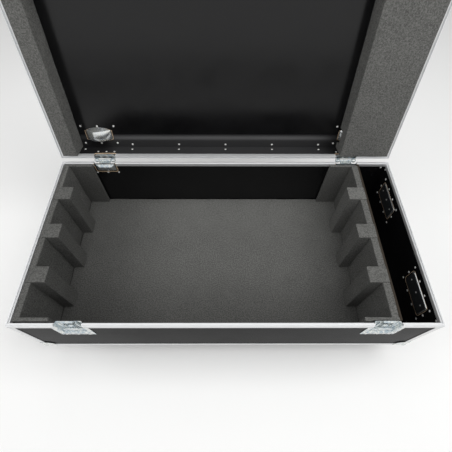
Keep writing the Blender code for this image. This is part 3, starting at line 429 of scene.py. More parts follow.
def aluminium_material():
    """Extruded aluminium, etched and clear anodised: the film scatters as much as the metal mirrors.

    Fine die lines run along each length.
    """
    base = tuple(colours().aluminium)
    material, tree, shader, place = start_material("clear_anodised_extrusion", base, 0.3, Metallic=0.5)
    run = add_node(tree, "ShaderNodeSeparateXYZ", {"Vector": place.outputs["UV"]})
    across = add_node(tree, "ShaderNodeMath", {0: run.outputs["Y"], 1: per_metre(1.1)}, operation="MULTIPLY")
    lines = add_node(
        tree,
        "ShaderNodeTexNoise",
        {"W": across.outputs[0], "Scale": 1.0, "Detail": 3.0},
        noise_dimensions="1D",
    ).outputs["Fac"]
    feed(tree, shader, "Base Color", blend_of(tree, lines, shaded(base, 0.9), shaded(base, 1.04)))
    feed(tree, shader, "Roughness", fitted(tree, lines, 0.3, 0.7, 0.28, 0.34))
    return material


def zinc_material(name, tone=1.0, roughness=0.2, blue=0.1, cloud=22):
    """Pressed steel, zinc plated with a blue passivate: bright, with cold and warm clouds.

    The plating's crystals scatter a fifth of the light, so it isn't a full mirror.
    """
    base = shaded(tuple(colours().zinc), tone)
    material, tree, shader, place = start_material(name, base, roughness, Metallic=0.8)
    clouds = fitted(tree, noise(tree, place.outputs["Object"], cloud, detail=3), 0.36, 0.64, 0, 1)
    grain = noise(tree, place.outputs["Object"], 1.4, detail=3)
    cold = (base[0] * (1 - blue), base[1] * (1 - 0.82 * blue), base[2] * (1 - 0.7 * blue), 1.0)
    warm = (base[0] * 1.04, base[1] * 1.03, base[2] * 0.97, 1.0)
    feed(tree, shader, "Base Color", blend_of(tree, clouds, cold, warm))
    relief(tree, shader, grain, 0.015, 0.0002)
    return material


def rivet_material():
    """Tumbled aluminium rivets: a matt, nearly white skin that scatters as much as it mirrors."""
    base = tuple(colours().rivet)
    material, tree, shader, place = start_material("tumbled_aluminium_rivet", base, 0.45, Metallic=0.5)
    marks = noise(tree, place.outputs["Object"], 1.2, detail=3)
    feed(tree, shader, "Base Color", blend_of(tree, marks, shaded(base, 0.88), shaded(base, 1.08)))
    feed(tree, shader, "Roughness", fitted(tree, marks, 0.3, 0.7, 0.38, 0.52))
    relief(tree, shader, marks, 0.1, 0.0002)
    return material


def foam_material():
    """Charcoal closed-cell foam, cut with a knife: dull, with an open speckle of cells.

    The cells are about 1 mm; a coarser grain of 4 mm is there so that it still shows from afar.
    """
    base = tuple(colours().foam)
    material, tree, shader, place = start_material("charcoal_closed_cell_foam", base, 0.95)
    cells = noise(tree, place.outputs["Object"], 1.1, detail=2, roughness=0.6)
    grain = noise(tree, place.outputs["Object"], 4, detail=3, roughness=0.8)
    wear = noise(tree, place.outputs["Object"], 70, detail=3)
    # The tone attribute is painted light and shade: each foam piece made lighter where it is lit and darker
    # where it is shaded
    tone = add_node(tree, "ShaderNodeAttribute", attribute_name="tone")
    grains = blend_of(tree, fitted(tree, grain, 0.4, 0.6, 0, 1), shaded(base, 0.52), shaded(base, 1.48))
    worn = blend_of(tree, fitted(tree, wear, 0.35, 0.65, 0, 1), shaded(base, 0.86), shaded(base, 1.14))
    both = blend_of(tree, 0.25, grains, worn)
    toned = add_node(
        tree, "ShaderNodeHueSaturation", {"Color": both, "Value": tone.outputs["Fac"]}
    )
    feed(tree, shader, "Base Color", toned.outputs["Color"])
    relief(tree, shader, cells, 0.35, 0.0006)
    shader.inputs["Specular IOR Level"].default_value = 0.25
    return material


def rubber_material(name, base, grain_size):
    """Moulded rubber: dull, with the fine grain of its mould."""
    material, tree, shader, place = start_material(name, base, 0.6)
    grain = noise(tree, place.outputs["Object"], grain_size, detail=3)
    dust = noise(tree, place.outputs["Object"], 25, detail=3)
    feed(tree, shader, "Base Color", blend_of(tree, dust, shaded(base, 0.8), shaded(base, 1.35)))
    feed(tree, shader, "Roughness", fitted(tree, dust, 0.3, 0.7, 0.5, 0.72))
    relief(tree, shader, grain, 0.25, 0.0003)
    return material


def seen_directly(tree, *others):
    """1 on rays from the camera and in reflections, and on any other kind of ray that is named; else 0."""
    path = add_node(tree, "ShaderNodeLightPath").outputs
    seen = path["Is Camera Ray"]
    for kind in ("Is Glossy Ray", *others):
        seen = add_node(tree, "ShaderNodeMath", {0: seen, 1: path[kind]}, operation="MAXIMUM").outputs[0]
    return seen


def floor_material():
    """Painted studio floor: pale, and lifted to white for the camera where the object's shadow isn't."""
    base = tuple(colours().floor)
    material, tree, shader, place = start_material("painted_studio_floor", base, 0.9)
    brushed = noise(tree, place.outputs["Object"], 300)
    feed(tree, shader, "Base Color", blend_of(tree, brushed, shaded(base, 0.985), base))
    shader.inputs["Emission Color"].default_value = (1, 1, 1, 1)
    feed(tree, shader, "Emission Strength", fitted(tree, seen_directly(tree), 0, 1, 0, 0.16))
    return material


MAKERS = {
    "laminate": laminate_material,
    "plywood": plywood_material,
    "divider": divider_material,
    "aluminium": aluminium_material,
    "zinc": lambda: zinc_material("bright_zinc_plated_steel"),
    "blued_zinc": lambda: zinc_material("blue_passivated_zinc_plate", roughness=0.15, blue=0.42, cloud=9),
    "dull_zinc": lambda: zinc_material("weathered_zinc_plated_steel", tone=0.72, roughness=0.34),
    "rivet": rivet_material,
    # The dark plate behind the handles: a painted reflection of the dark compartment in the dish's back
    "black_steel": lambda: rubber_material("black_coated_steel_sheet", tuple(colours().coated), 3.0),
    # The lid's film, with a painted reflection of its rim as a grey glow
    "dusty_laminate": lambda: laminate_material("dusty_black_phenolic_film", dust=True),
    "foam": foam_material,
    "grip": lambda: rubber_material("black_moulded_rubber", tuple(colours().grip), 0.7),
    "tyre": lambda: rubber_material("grey_elastic_rubber", tuple(colours().tyre), 1.2),
    "core": lambda: rubber_material("black_moulded_nylon", tuple(colours().core), 0.5),
    "floor": floor_material,
}
MADE = {}


def material(key):
    """The finish with this key, made when it is first asked for."""
    if key not in MADE:
        MADE[key] = MAKERS[key]()
    return MADE[key]


def on_wall(side, points, place=0.0, height=0.0):
    """Wall coordinates (s, u, v) as the case's X, Y and Z: s runs along the wall and u inwards from it."""
    along, inwards = {
        "front": ((1, 0), (0, 1)),
        "right": ((0, 1), (-1, 0)),
        "rear": ((-1, 0), (0, -1)),
        "left": ((0, -1), (1, 0)),
    }[side]
    reach = HALF_WIDTH if side in ("front", "rear") else HALF_LENGTH
    s, u, v = points[..., 0] + place, points[..., 1] - reach, points[..., 2]
    x, y = (s * along[axis] + u * inwards[axis] for axis in (0, 1))
    return np.stack([x, y, v + RIM + height], axis=-1)


def inward(side):
    """The direction into the case from a wall."""
    return on_wall(side, np.array([0.0, 1.0, 0.0])) - on_wall(side, np.zeros(3))


def opened(points):
    """Points drawn with the lid closed, turned about the hinge axis to where the open lid holds them."""
    turn_cos, turn_sin = cos(OPEN_ANGLE), sin(OPEN_ANGLE)
    back, up = points[..., 1] - HINGE[1], points[..., 2] - HINGE[2]
    y, z = HINGE[1] + turn_cos * back + turn_sin * up, HINGE[2] - turn_sin * back + turn_cos * up
    return np.stack([points[..., 0], y, z], axis=-1)


def grid_quads(rows, columns, close_rows=False, close_columns=False):
    """The quads between a grid's neighbouring points, as indices; a closed direction wraps round."""
    row = np.arange(rows if close_rows else rows - 1)[:, None]
    column = np.arange(columns if close_columns else columns - 1)[None, :]
    below, right = (row + 1) % rows, (column + 1) % columns
    ring = [row * columns + column, row * columns + right, below * columns + right, below * columns + column]
    return np.stack(ring, axis=-1).reshape(-1, 4)


def solid(points, quads, caps=(), uv=None):
    """A closed shape: its points welded and its faces turned outwards by the sign of its volume."""
    flat = points.reshape(-1, 3)
    _, first, index = np.unique(np.round(flat, 7), axis=0, return_index=True, return_inverse=True)
    index = index.reshape(-1)
    flat, quads = flat[first], index[quads]
    caps = [index[np.asarray(cap)] for cap in caps]
    a, b, c, d = (flat[quads[:, corner]] for corner in range(4))
    volume = np.einsum("ij,ij->", a, np.cross(b, c)) + np.einsum("ij,ij->", a, np.cross(c, d))
    for cap in caps:
        rim = flat[cap]
        volume += np.einsum("ij,ij->", np.broadcast_to(rim[0], rim[1:-1].shape), np.cross(rim[1:-1], rim[2:]))
    if volume < 0:
        quads = quads[:, ::-1]
        caps = [cap[::-1] for cap in caps]
        uv = None if uv is None else uv[:, ::-1]
    return {"points": flat, "quads": quads, "caps": caps, "uv": uv}


def moved(shape, where):
    """A shape with its points carried by a function, and turned outwards again if that mirrored it."""
    return solid(where(shape["points"]), shape["quads"], shape["caps"], shape["uv"])


def mesh_of(name, shapes):
    """One mesh from closed shapes: corners that fell together are dropped, and UVs are kept per corner."""
    points, corner_lists, totals, uvs = [], [], [], []
    start = 0
    for shape in shapes:
        quads = shape["quads"]
        keep = quads != np.roll(quads, 1, axis=1)
        whole = keep.sum(axis=1) >= 3
        quads, keep = quads[whole], keep[whole]
        corner_lists.append(quads[keep] + start)
        totals.append(keep.sum(axis=1))
        uv = np.zeros((*quads.shape, 2)) if shape["uv"] is None else shape["uv"][whole]
        uvs.append(uv[keep])
        for cap in shape["caps"]:
            corner_lists.append(cap + start)
            totals.append([len(cap)])
            uvs.append(np.zeros((len(cap), 2)))
        points.append(shape["points"])
        start += len(shape["points"])
    points, corner_list, totals = np.concatenate(points), np.concatenate(corner_lists), np.concatenate(totals)
    mesh = bpy.data.meshes.new(name)
    mesh.vertices.add(len(points))
    mesh.vertices.foreach_set("co", points.astype(np.float32).ravel())
    mesh.loops.add(len(corner_list))
    mesh.loops.foreach_set("vertex_index", corner_list.astype(np.int32))
    mesh.polygons.add(len(totals))
    mesh.polygons.foreach_set("loop_start", np.concatenate([[0], np.cumsum(totals)[:-1]]).astype(np.int32))
    mesh.update(calc_edges=True)
    layer = mesh.uv_layers.new(name="run")
    layer.data.foreach_set("uv", np.concatenate(uvs).astype(np.float32).ravel())
    mesh.validate()
    return mesh


def piece(name, shapes, finish, body, stands_for=(), tone=None, sharp=35):
    """One finished piece from closed shapes, riding on a body and standing for solids."""
    mesh = mesh_of(name, [moved(shape, opened) for shape in shapes] if body == "lid" else shapes)
    mesh.materials.append(material(finish))
    mesh.shade_smooth()
    mesh.set_sharp_from_angle(angle=radians(sharp))
    # A tone is a foam piece's painted light and shade: its brightness scaled to how the light falls on it
    if tone is not None:
        painted_light_levels = np.broadcast_to(tone, len(mesh.vertices)).astype(np.float32)
        mesh.attributes.new("tone", "FLOAT", "POINT").data.foreach_set("value", painted_light_levels)
    thing = bpy.data.objects.new(name, mesh)
    bpy.context.scene.collection.objects.link(thing)
    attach(thing, body)
    if stands_for:
        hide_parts(*stands_for)
    return thing


def rounded(outline, radius, steps=3):
    """A closed outline with each corner replaced by a curve that leaves both sides at the radius.

    Each curve is a quadratic Bezier from a point on the one side, by the corner, to a point on the other.
    """
    here = np.asarray(outline, float)
    before, after = np.roll(here, 1, axis=0), np.roll(here, -1, axis=0)
    reach_back = np.minimum(radius, 0.45 * np.linalg.norm(before - here, axis=1))[:, None]
    reach_on = np.minimum(radius, 0.45 * np.linalg.norm(after - here, axis=1))[:, None]
    start = here + (before - here) / np.linalg.norm(before - here, axis=1)[:, None] * reach_back
    end = here + (after - here) / np.linalg.norm(after - here, axis=1)[:, None] * reach_on
    t = np.linspace(0, 1, steps + 1)[None, :, None]
    curve = (1 - t) ** 2 * start[:, None] + 2 * t * (1 - t) * here[:, None] + t**2 * end[:, None]
    return curve.reshape(-1, 2)


def rectangle(left, low, right, high, radius, steps=3):
    """A rectangle's outline with rounded corners."""
    return rounded([(left, low), (right, low), (right, high), (left, high)], radius, steps)


def carried(rings):
    """A solid through rings of points, closed by its first and last ring, with UVs in metres.

    Across is the distance round the ring and along is the distance between the rings' middles.
    """
    rows, columns, _ = rings.shape
    quads = grid_quads(rows, columns, close_columns=True)
    sides = np.linalg.norm(np.diff(rings[0], axis=0, append=rings[0][:1]), axis=1)
    across = np.concatenate([[0], np.cumsum(sides)])
    along = np.concatenate([[0], np.cumsum(np.linalg.norm(np.diff(rings.mean(axis=1), axis=0), axis=1))])
    row = np.repeat(np.arange(rows - 1), columns)
    column = np.tile(np.arange(columns), rows - 1)
    uv = np.stack(
        [
            np.stack([along[row], across[column]], axis=-1),
            np.stack([along[row], across[column + 1]], axis=-1),
            np.stack([along[row + 1], across[column + 1]], axis=-1),
            np.stack([along[row + 1], across[column]], axis=-1),
        ],
        axis=1,
    )
    last = (rows - 1) * columns
    return solid(rings, quads, [np.arange(columns), np.arange(last, last + columns)], uv)


def turned(profile, centre, axis, sides=32, ring=False):
    """A profile of (radius, distance along the axis) turned about an axis; a ring's profile is closed."""
    axis = np.asarray(axis, float)
    helper = np.array([0.0, 0.0, 1.0]) if abs(axis[2]) < 0.9 else np.array([1.0, 0.0, 0.0])
    first = np.cross(axis, helper)
    first /= np.linalg.norm(first)
    second = np.cross(axis, first)
    radius, along = np.asarray(profile, float).T
    angle = np.linspace(0, 2 * pi, sides, endpoint=False)
    round_it = np.cos(angle)[:, None] * first + np.sin(angle)[:, None] * second
    points = centre + radius[:, None, None] * round_it + along[:, None, None] * axis
    return solid(points, grid_quads(len(radius), sides, close_rows=ring, close_columns=True))


def tube(path, radius, sides=12):
    """A round bar along a path: circles square to the path, closed at both ends."""
    path = np.asarray(path, float)
    along = np.gradient(path, axis=0)
    along /= np.linalg.norm(along, axis=1)[:, None]
    spread = np.linalg.svd(path - path.mean(axis=0))[2][2]
    first = np.cross(along, spread)
    first /= np.linalg.norm(first, axis=1)[:, None]
    second = np.cross(along, first)
    angle = np.linspace(0, 2 * pi, sides, endpoint=False)[None, :, None]
    rings = path[:, None] + radius * (np.cos(angle) * first[:, None] + np.sin(angle) * second[:, None])
    return carried(rings)


def eased(values, start, end):
    """A smooth step from 0 at the start to 1 at the end: 3 s^2 - 2 s^3 of the share s of the way."""
    share = np.clip((values - start) / (end - start), 0, 1)
    return share * share * (3 - 2 * share)


def ripple(points, seed, height, wavelength):
    """A smooth unevenness: the mean of eight sine waves in directions drawn from a seed."""
    draw = np.random.default_rng(seed)
    ways = draw.normal(size=(8, 3))
    ways /= np.linalg.norm(ways, axis=1)[:, None]
    turns = draw.uniform(0, 2 * pi, 8)
    return height * 2 * np.sin(points @ ways.T * (2 * pi / wavelength) + turns).mean(axis=-1)


def soft_box(low, high, radius, step, wave=0.0, seed=0, wavelength=0.09):
    """A box with rounded edges: each point of a gridded box is drawn to the radius round its inner core.

    The core is the box shrunk by the radius, and a ripple moves the faces along the same direction.
    """
    low, high = np.asarray(low, float), np.asarray(high, float)
    radius = min(radius, 0.45 * (high - low).min())
    inner_low, inner_high = low + radius, high - radius
    ease = radius * np.array([0.0, 0.12, 0.38, 0.7, 1.0])
    lines = []
    for axis in range(3):
        count = max(1, int(round((inner_high[axis] - inner_low[axis]) / step)))
        inner = np.linspace(inner_low[axis], inner_high[axis], count + 1)[1:-1]
        lines.append(np.concatenate([low[axis] + ease, inner, high[axis] - ease[::-1]]))
    shapes, start = [], 0
    all_points, all_quads = [], []
    for axis in range(3):
        others = [index for index in range(3) if index != axis]
        first, second = np.meshgrid(lines[others[0]], lines[others[1]], indexing="ij")
        for level in (low[axis], high[axis]):
            points = np.empty((*first.shape, 3))
            points[..., others[0]], points[..., others[1]], points[..., axis] = first, second, level
            quads = grid_quads(*first.shape) + start
            flip = (axis == 1) == (level == high[axis])
            all_quads.append(quads[:, ::-1] if flip else quads)
            all_points.append(points.reshape(-1, 3))
            start += first.size
    points = np.concatenate(all_points)
    core = np.clip(points, inner_low, inner_high)
    out = points - core
    out /= np.linalg.norm(out, axis=1)[:, None]
    lift = radius + (ripple(core, seed, wave, wavelength) if wave else 0.0)
    return solid(core + out * np.asarray(lift).reshape(-1, 1), np.concatenate(all_quads))


def base_section():
    """Outline (u, v) of the base's rim: two legs, a web, the tongue and a bead along the outer edge."""
    end = TONGUE_START + TONGUE_WIDTH
    return [
        (0, 0), (0, -OUTER_LEG), (SKIN, -OUTER_LEG), (SKIN, -WEB), (RIM_IN - SKIN, -WEB),
        (RIM_IN - SKIN, -BASE_INNER_LEG), (RIM_IN, -BASE_INNER_LEG), (RIM_IN, 0), (end, 0),
        (end, TONGUE_HEIGHT), (TONGUE_START, TONGUE_HEIGHT), (TONGUE_START, 0),
    ]


def lid_section():
    """Outline (u, v) of the lid's rim: two legs, a web and the groove that takes the tongue."""
    start, end = TONGUE_START - GROOVE_PLAY, TONGUE_START + TONGUE_WIDTH + GROOVE_PLAY
    top = GAP + TONGUE_HEIGHT + GROOVE_PLAY
    return [
        (0, GAP), (0, OUTER_LEG), (SKIN, OUTER_LEG), (SKIN, top + WEB), (RIM_IN - SKIN, top + WEB),
        (RIM_IN - SKIN, LID_INNER_LEG), (RIM_IN, LID_INNER_LEG), (RIM_IN, GAP), (end, GAP), (end, top),
        (start, top), (start, GAP),
    ]


class Maker:
    """What all the operators share."""

    bl_options = {"REGISTER", "UNDO"}

    def execute(self, context):
        self.make()
        return {"FINISHED"}


class FLIGHTCASE_OT_panels(Maker, bpy.types.Operator):
    """Gives the plywood panels their film and the divider its sawn edges"""

    bl_idname = "flightcase.panels"
    bl_label = "Panels"

    def make(self):
        for node in (
            "bottom_panel", "front_panel", "rear_panel", "left_end_panel", "right_end_panel",
            "lid_top_panel", "lid_walls", "divider_board", "divider_batten",
        ):
            # The lid's panels take the film with the painted glow, a painted reflection of the lid's rim
            finish = {"lid": "dusty_laminate", "divider": "divider"}.get(node.split("_")[0], "laminate")
            mesh = frame["nodes"][node].data
            mesh.materials.clear()
            mesh.materials.append(material(finish))


class FLIGHTCASE_OT_rims(Maker, bpy.types.Operator):
    """Carries the rim extrusions round the base and the lid, with gaps for latches and hinges"""

    bl_idname = "flightcase.rims"
    bl_label = "Rims"

    def make(self):
        bowls = {"base": HINGE_BOWL, "lid": HINGE_LID_BOWL}
        for label, outline in (("base", base_section()), ("lid", lid_section())):
            outline, hinge_half = rounded(outline, sizes().extrusion_round), bowls[label][0]
            latch, hinge = LATCH_BOWL[0] + GAP, hinge_half + GAP
            runs = {
                "front": [("front", LATCH_X["left"] + latch), ("front", LATCH_X["right"] - latch)],
                "rear": [("rear", hinge - HINGE_X), ("rear", HINGE_X - hinge)],
            }
            for side, sign in (("left", -1), ("right", 1)):
                runs[side] = [
                    ("front", LATCH_X[side] + sign * latch), ("front", None, sign),
                    ("rear", None, sign), ("rear", sign * (HINGE_X + hinge)),
                ]
            for side, stops in runs.items():
                shape = carried(np.stack([self.ring(outline, *stop) for stop in stops]))
                piece(f"{label}_{side}_extrusion", [shape], "aluminium", label, [f"{label}_rim_{side}"])

    def ring(self, outline, side, x, sign=1):
        """The outline at one X, or on the mitre at an end of the case where no X is given."""
        u, v = outline.T
        along = np.full(len(u), x) if x is not None else sign * (HALF_LENGTH - u)
        y = (u - HALF_WIDTH) * (1 if side == "front" else -1)
        return np.stack([along, y, RIM + v], axis=-1)


class FLIGHTCASE_OT_edging(Maker, bpy.types.Operator):
    """Lays the angle extrusions along the outer edges and sets a pressed cap on each outer corner"""

    bl_idname = "flightcase.edging"
    bl_label = "Edging and corner caps"

    def make(self):
        far = {"base": UNDERSIDE - SKIN - GAP, "lid": RIM + LID_SKIN_TOP}
        near = {"base": RIM - OUTER_LEG - GAP, "lid": RIM + OUTER_LEG + GAP}
        for body in ("base", "lid"):
            up = 1 if body == "base" else -1
            angles = []
            for side in (-1, 1):
                for start, end, one, two in (
                    ((-1, side, 0), (1, side, 0), (0, -side, 0), (0, 0, up)),
                    ((side, -1, 0), (side, 1, 0), (-side, 0, 0), (0, 0, up)),
                ):
                    angles.append(self.angle(start, end, one, two, far[body], far[body]))
                for across in (-1, 1):
                    corner = (side, across, 0)
                    ways = (-side, 0, 0), (0, -across, 0)
                    angles.append(self.angle(corner, corner, *ways, far[body], near[body]))
            piece(f"{body}_angle_extrusions", angles, "aluminium", body, [f"{body}_edging"])
            caps = [self.cap(x, y, up, far[body]) for x in (-1, 1) for y in (-1, 1)]
            piece(f"{body}_corner_caps", caps, "zinc", body)

    def angle(self, start, end, one, two, low, high):
        """An L outline with rounded corners, carried in a straight line from one corner to another."""
        leg, skin = OUTER_LEG, SKIN
        bare = [(0, 0), (leg, 0), (leg, skin), (skin, skin), (skin, leg), (0, leg)]
        outline, soft = rounded(bare, sizes().extrusion_round), rounded(bare, sizes().angle_round)
        outline[:4] = soft[:4]
        half = np.array([HALF_LENGTH, HALF_WIDTH, 0])
        offsets = outline[:, :1] * np.array(one) + outline[:, 1:] * np.array(two)
        ends = [np.array(start) * half + (0, 0, low), np.array(end) * half + (0, 0, high)]
        return carried(np.stack([offsets + ends[0], offsets + ends[1]]))

    def cap(self, x_side, y_side, up, level):
        """Three gridded faces of a cube corner drawn to a radius, with a ball swelling at the corner.

        Distances run inwards from the case's corner. A point closer to the ball's centre than its radius is
        pushed out to it. The cap is closed by the same faces set back by its thickness.
        """
        leg, rise, radius = sizes().cap_leg, sizes().cap_rise, 0.005
        ball_centre, ball_radius, thickness = 0.0085, 0.0128, 0.0011
        share = np.concatenate([np.linspace(0, 0.5, 15) ** 1.3 * 2**0.3, np.linspace(0.5, 1, 7)[1:]])
        a, b = np.meshgrid(share, share, indexing="ij")
        trim = 1 - 0.17 * (a * b) ** 3
        grids, quads, start = [], [], 0
        for axis in range(3):
            others = [index for index in range(3) if index != axis]
            for back in (False, True):
                points = np.empty((*a.shape, 3))
                points[..., others[0]], points[..., others[1]] = a * leg * trim - rise, b * leg * trim - rise
                points[..., axis] = -rise
                core = np.maximum(points, radius - rise)
                out = points - core
                out /= np.linalg.norm(out, axis=-1)[..., None]
                points = core + out * (radius - thickness * back)
                from_ball = points - ball_centre
                far = np.linalg.norm(from_ball, axis=-1)[..., None]
                reach = ball_radius - thickness * back
                points = np.where(far < reach, ball_centre + from_ball / far * reach, points)
                grids.append(points.reshape(-1, 3))
                made = grid_quads(*a.shape) + start
                quads.append(made[:, ::-1] if back == (axis == 1) else made)
                start += a.size
            size = len(share)
            front, rear = start - 2 * a.size, start - a.size
            last_row, last_column = (size - 1) * size + np.arange(size), np.arange(size) * size + size - 1
            edge = np.concatenate([last_row, last_column[-2::-1]])
            before, after = edge[:-1], edge[1:]
            strip = np.stack([front + before, front + after, rear + after, rear + before], axis=-1)
            quads.append(strip[:, ::-1] if axis == 1 else strip)
        corner = np.array([x_side * HALF_LENGTH, y_side * HALF_WIDTH, level])
        points = np.concatenate(grids) * np.array([-x_side, -y_side, up]) + corner
        return solid(points, np.concatenate(quads))


def ring_points(half, low, high, radius, steps=6):
    """Points round a rectangle with rounded corners, anticlockwise from the middle of its top side.

    With no height given for the top, the line is open: it runs down one side, along the foot and up again.
    """
    quarter = np.linspace(0, pi / 2, steps + 1)
    foot = high is None
    arcs = [(-half + radius, low + radius, pi), (half - radius, low + radius, 1.5 * pi)]
    if not foot:
        arcs += [(half - radius, high - radius, 0), (-half + radius, high - radius, 0.5 * pi)]
    middles = np.array([arc[:2] for arc in arcs])[:, None]
    turn = np.array([arc[2] for arc in arcs])[:, None] + quarter
    return (middles + radius * np.stack([np.cos(turn), np.sin(turn)], axis=-1)).reshape(-1, 2)


def dish(half, low, top, wall_section, radius, thickness, flange=None, spine=True):
    """A pressed dish: a wall section carried round a rectangle with rounded corners, and closed by a floor.

    The section is a list of (inset, depth), from the outer edge to the floor; its back is the same line
    moved out by the sheet's thickness. A dish with an open top has a straight rim at that height, and a
    closed one runs all the way round. The floor is drawn together on the middle line.
    """
    closed = isinstance(top, tuple)
    high = top[0] if closed else top
    section = np.asarray(wall_section, float)
    slope = np.gradient(section, axis=0)
    slope /= np.linalg.norm(slope, axis=1)[:, None]
    back = section + thickness * np.stack([-slope[:, 1], slope[:, 0]], axis=-1)
    rows = []
    for line, order in ((section, 1), (back, -1)):
        made = []
        for inset, depth in line:
            if inset < 0 and flange:
                share = min(1.0, -inset / flange[0])
                bend = radius + (flange[1] - radius) * share
            else:
                bend = max(radius - inset, 0.0002)
            ring = ring_points(half - inset, low + inset, high - inset if closed else None, bend)
            if not closed:
                ends = np.array([[-(half - inset), high], [half - inset, high]])
                ring = np.concatenate([ends[:1], ring, ends[1:]])
            made.append(np.column_stack([ring[:, 0], np.full(len(ring), depth), ring[:, 1]]))
        if spine:
            last = made[-1].copy()
            ground, ceiling = low + half / 2, high - half / 2 if closed else high
            last[:, 0] = 0
            last[:, 2] = np.clip(last[:, 2], ground, ceiling) if ground < ceiling else (low + ceiling) / 2
            made.append(last)
        rows += made[::order]
    points = np.stack(rows)
    count, columns, _ = points.shape
    quads = grid_quads(count, columns, close_rows=True, close_columns=closed)
    caps = [] if closed else [np.arange(count) * columns, np.arange(count) * columns + columns - 1]
    return solid(points, quads, caps)


def wall_of_dish(depth):
    """The drawn wall of a dish, as (inset, depth): a soft lip, a steep side and a soft floor corner."""
    return [
        (0.0, 0.0), (0.0007, 0.0002), (0.0013, 0.0009), (0.0022, 0.45 * depth), (0.0030, depth - 0.0030),
        (0.0040, depth - 0.0010), (0.0056, depth - 0.0001), (0.0080, depth),
    ]


def sheet(front, back):
    """A thin sheet: two grids of points, face and back, joined along their edges."""
    rows, columns, _ = front.shape
    faces = grid_quads(rows, columns)
    loop = np.concatenate(
        [
            np.arange(columns), np.arange(1, rows) * columns + columns - 1,
            (rows - 1) * columns + np.arange(columns - 2, -1, -1), np.arange(rows - 2, 0, -1) * columns,
        ]
    )
    after = np.roll(loop, -1)
    wall = np.stack([loop, loop + rows * columns, after + rows * columns, after], axis=-1)
    points = np.concatenate([front.reshape(-1, 3), back.reshape(-1, 3)])
    return solid(points, np.concatenate([faces, faces[:, ::-1] + rows * columns, wall]))


def scoop(half, drop, floor, bend=0.014):
    """A hinge's dish in the base, as a depth over a grid in s and v.

    The depth rises with the distance from the nearest side or the rounded foot: steeply through the panel,
    then at a slope to the floor. Towards the open top it is held back by a second slope, which faces up.
    """
    s, v = np.meshgrid(np.linspace(-half, half, 67), np.linspace(-drop, -GAP, 49), indexing="ij")
    from_side, from_foot = np.abs(s) - (half - bend), (bend - drop) - v
    outside = np.hypot(np.maximum(from_side, 0), np.maximum(from_foot, 0))
    inside = bend - outside - np.minimum(np.maximum(from_side, from_foot), 0)
    steps = [0, 0.0007, 0.0020, 0.0034, 0.0060, 0.0125, 0.0160]
    rise = np.interp(inside, steps, np.array([0, 0.03, 0.37, 0.57, 0.66, 0.9, 1.0]) * floor)
    held = np.interp(-v, [0.0040, 0.0148, 0.0165], [SCOOP_TOP, floor - 0.0002, floor])
    depth = np.minimum(rise, held)
    return sheet(np.stack([s, depth, v], axis=-1), np.stack([s, depth + SKIN, v], axis=-1))


def frame_of(inner, outer, low, high):
    """A flat frame between two closed lines with the same number of points, at two levels."""
    rows = ((inner, low), (outer, low), (outer, high), (inner, high))
    rings = np.stack([np.column_stack([line, np.full(len(line), level)]) for line, level in rows])
    return solid(rings, grid_quads(len(rows), len(inner), close_rows=True, close_columns=True))


def plate(outline, low, high, along="Y", bend=0.0004):
    """A flat plate: a rounded outline between two levels, with its long edges eased."""
    outline = np.asarray(outline, float)
    middle_point = outline.mean(axis=0)
    out = outline - middle_point
    shrunk = middle_point + out * (1 - bend / np.abs(out).max(axis=0))
    rows = [(shrunk, low), (outline, low + bend), (outline, high - bend), (shrunk, high)]
    order = {"X": (2, 0, 1), "Y": (0, 2, 1), "Z": (0, 1, 2)}[along]
    rings = np.stack([np.column_stack([ring, np.full(len(ring), level)])[:, order] for ring, level in rows])
    return carried(rings)


def rod(start, end, radius, sides=20, ease=0.0004):
    """A round bar between two points with eased ends."""
    start, end = np.asarray(start, float), np.asarray(end, float)
    reach = np.linalg.norm(end - start)
    flat = radius - ease
    profile = [(0, 0), (flat, 0), (radius, ease), (radius, reach - ease), (flat, reach), (0, reach)]
    return turned(profile, start, (end - start) / reach, sides)


def screw_head(centre, out, radius=0.0042, height=0.0018):
    """A pan head with a cross recess, drawn as a turned dome whose middle is sunk."""
    profile = [
        (0, 0.35 * height), (0.28 * radius, 0.4 * height), (0.36 * radius, 0.95 * height),
        (0.6 * radius, 0.98 * height), (0.86 * radius, 0.7 * height), (radius, 0.2 * height),
        (radius, -0.0004), (0, -0.0004),
    ]
    return turned(profile, np.asarray(centre, float), out, 16)


def flange_u(half, low, top, margin, thickness):
    """The flat flange of an open dish: a strip round its two sides and its foot."""
    section = [(-margin, 0.0003), (-margin + 0.0004, 0), (-0.0004, 0), (-0.0001, 0.0003)]
    return dish(half, low, top, section, 0.005, thickness, flange=(margin, 0.004), spine=False)


def mirrored(shape):
    """A shape turned upside down about the rim plane, for the lid's halves of the fittings."""
    return moved(shape, lambda points: points * np.array([1, 1, -1]))


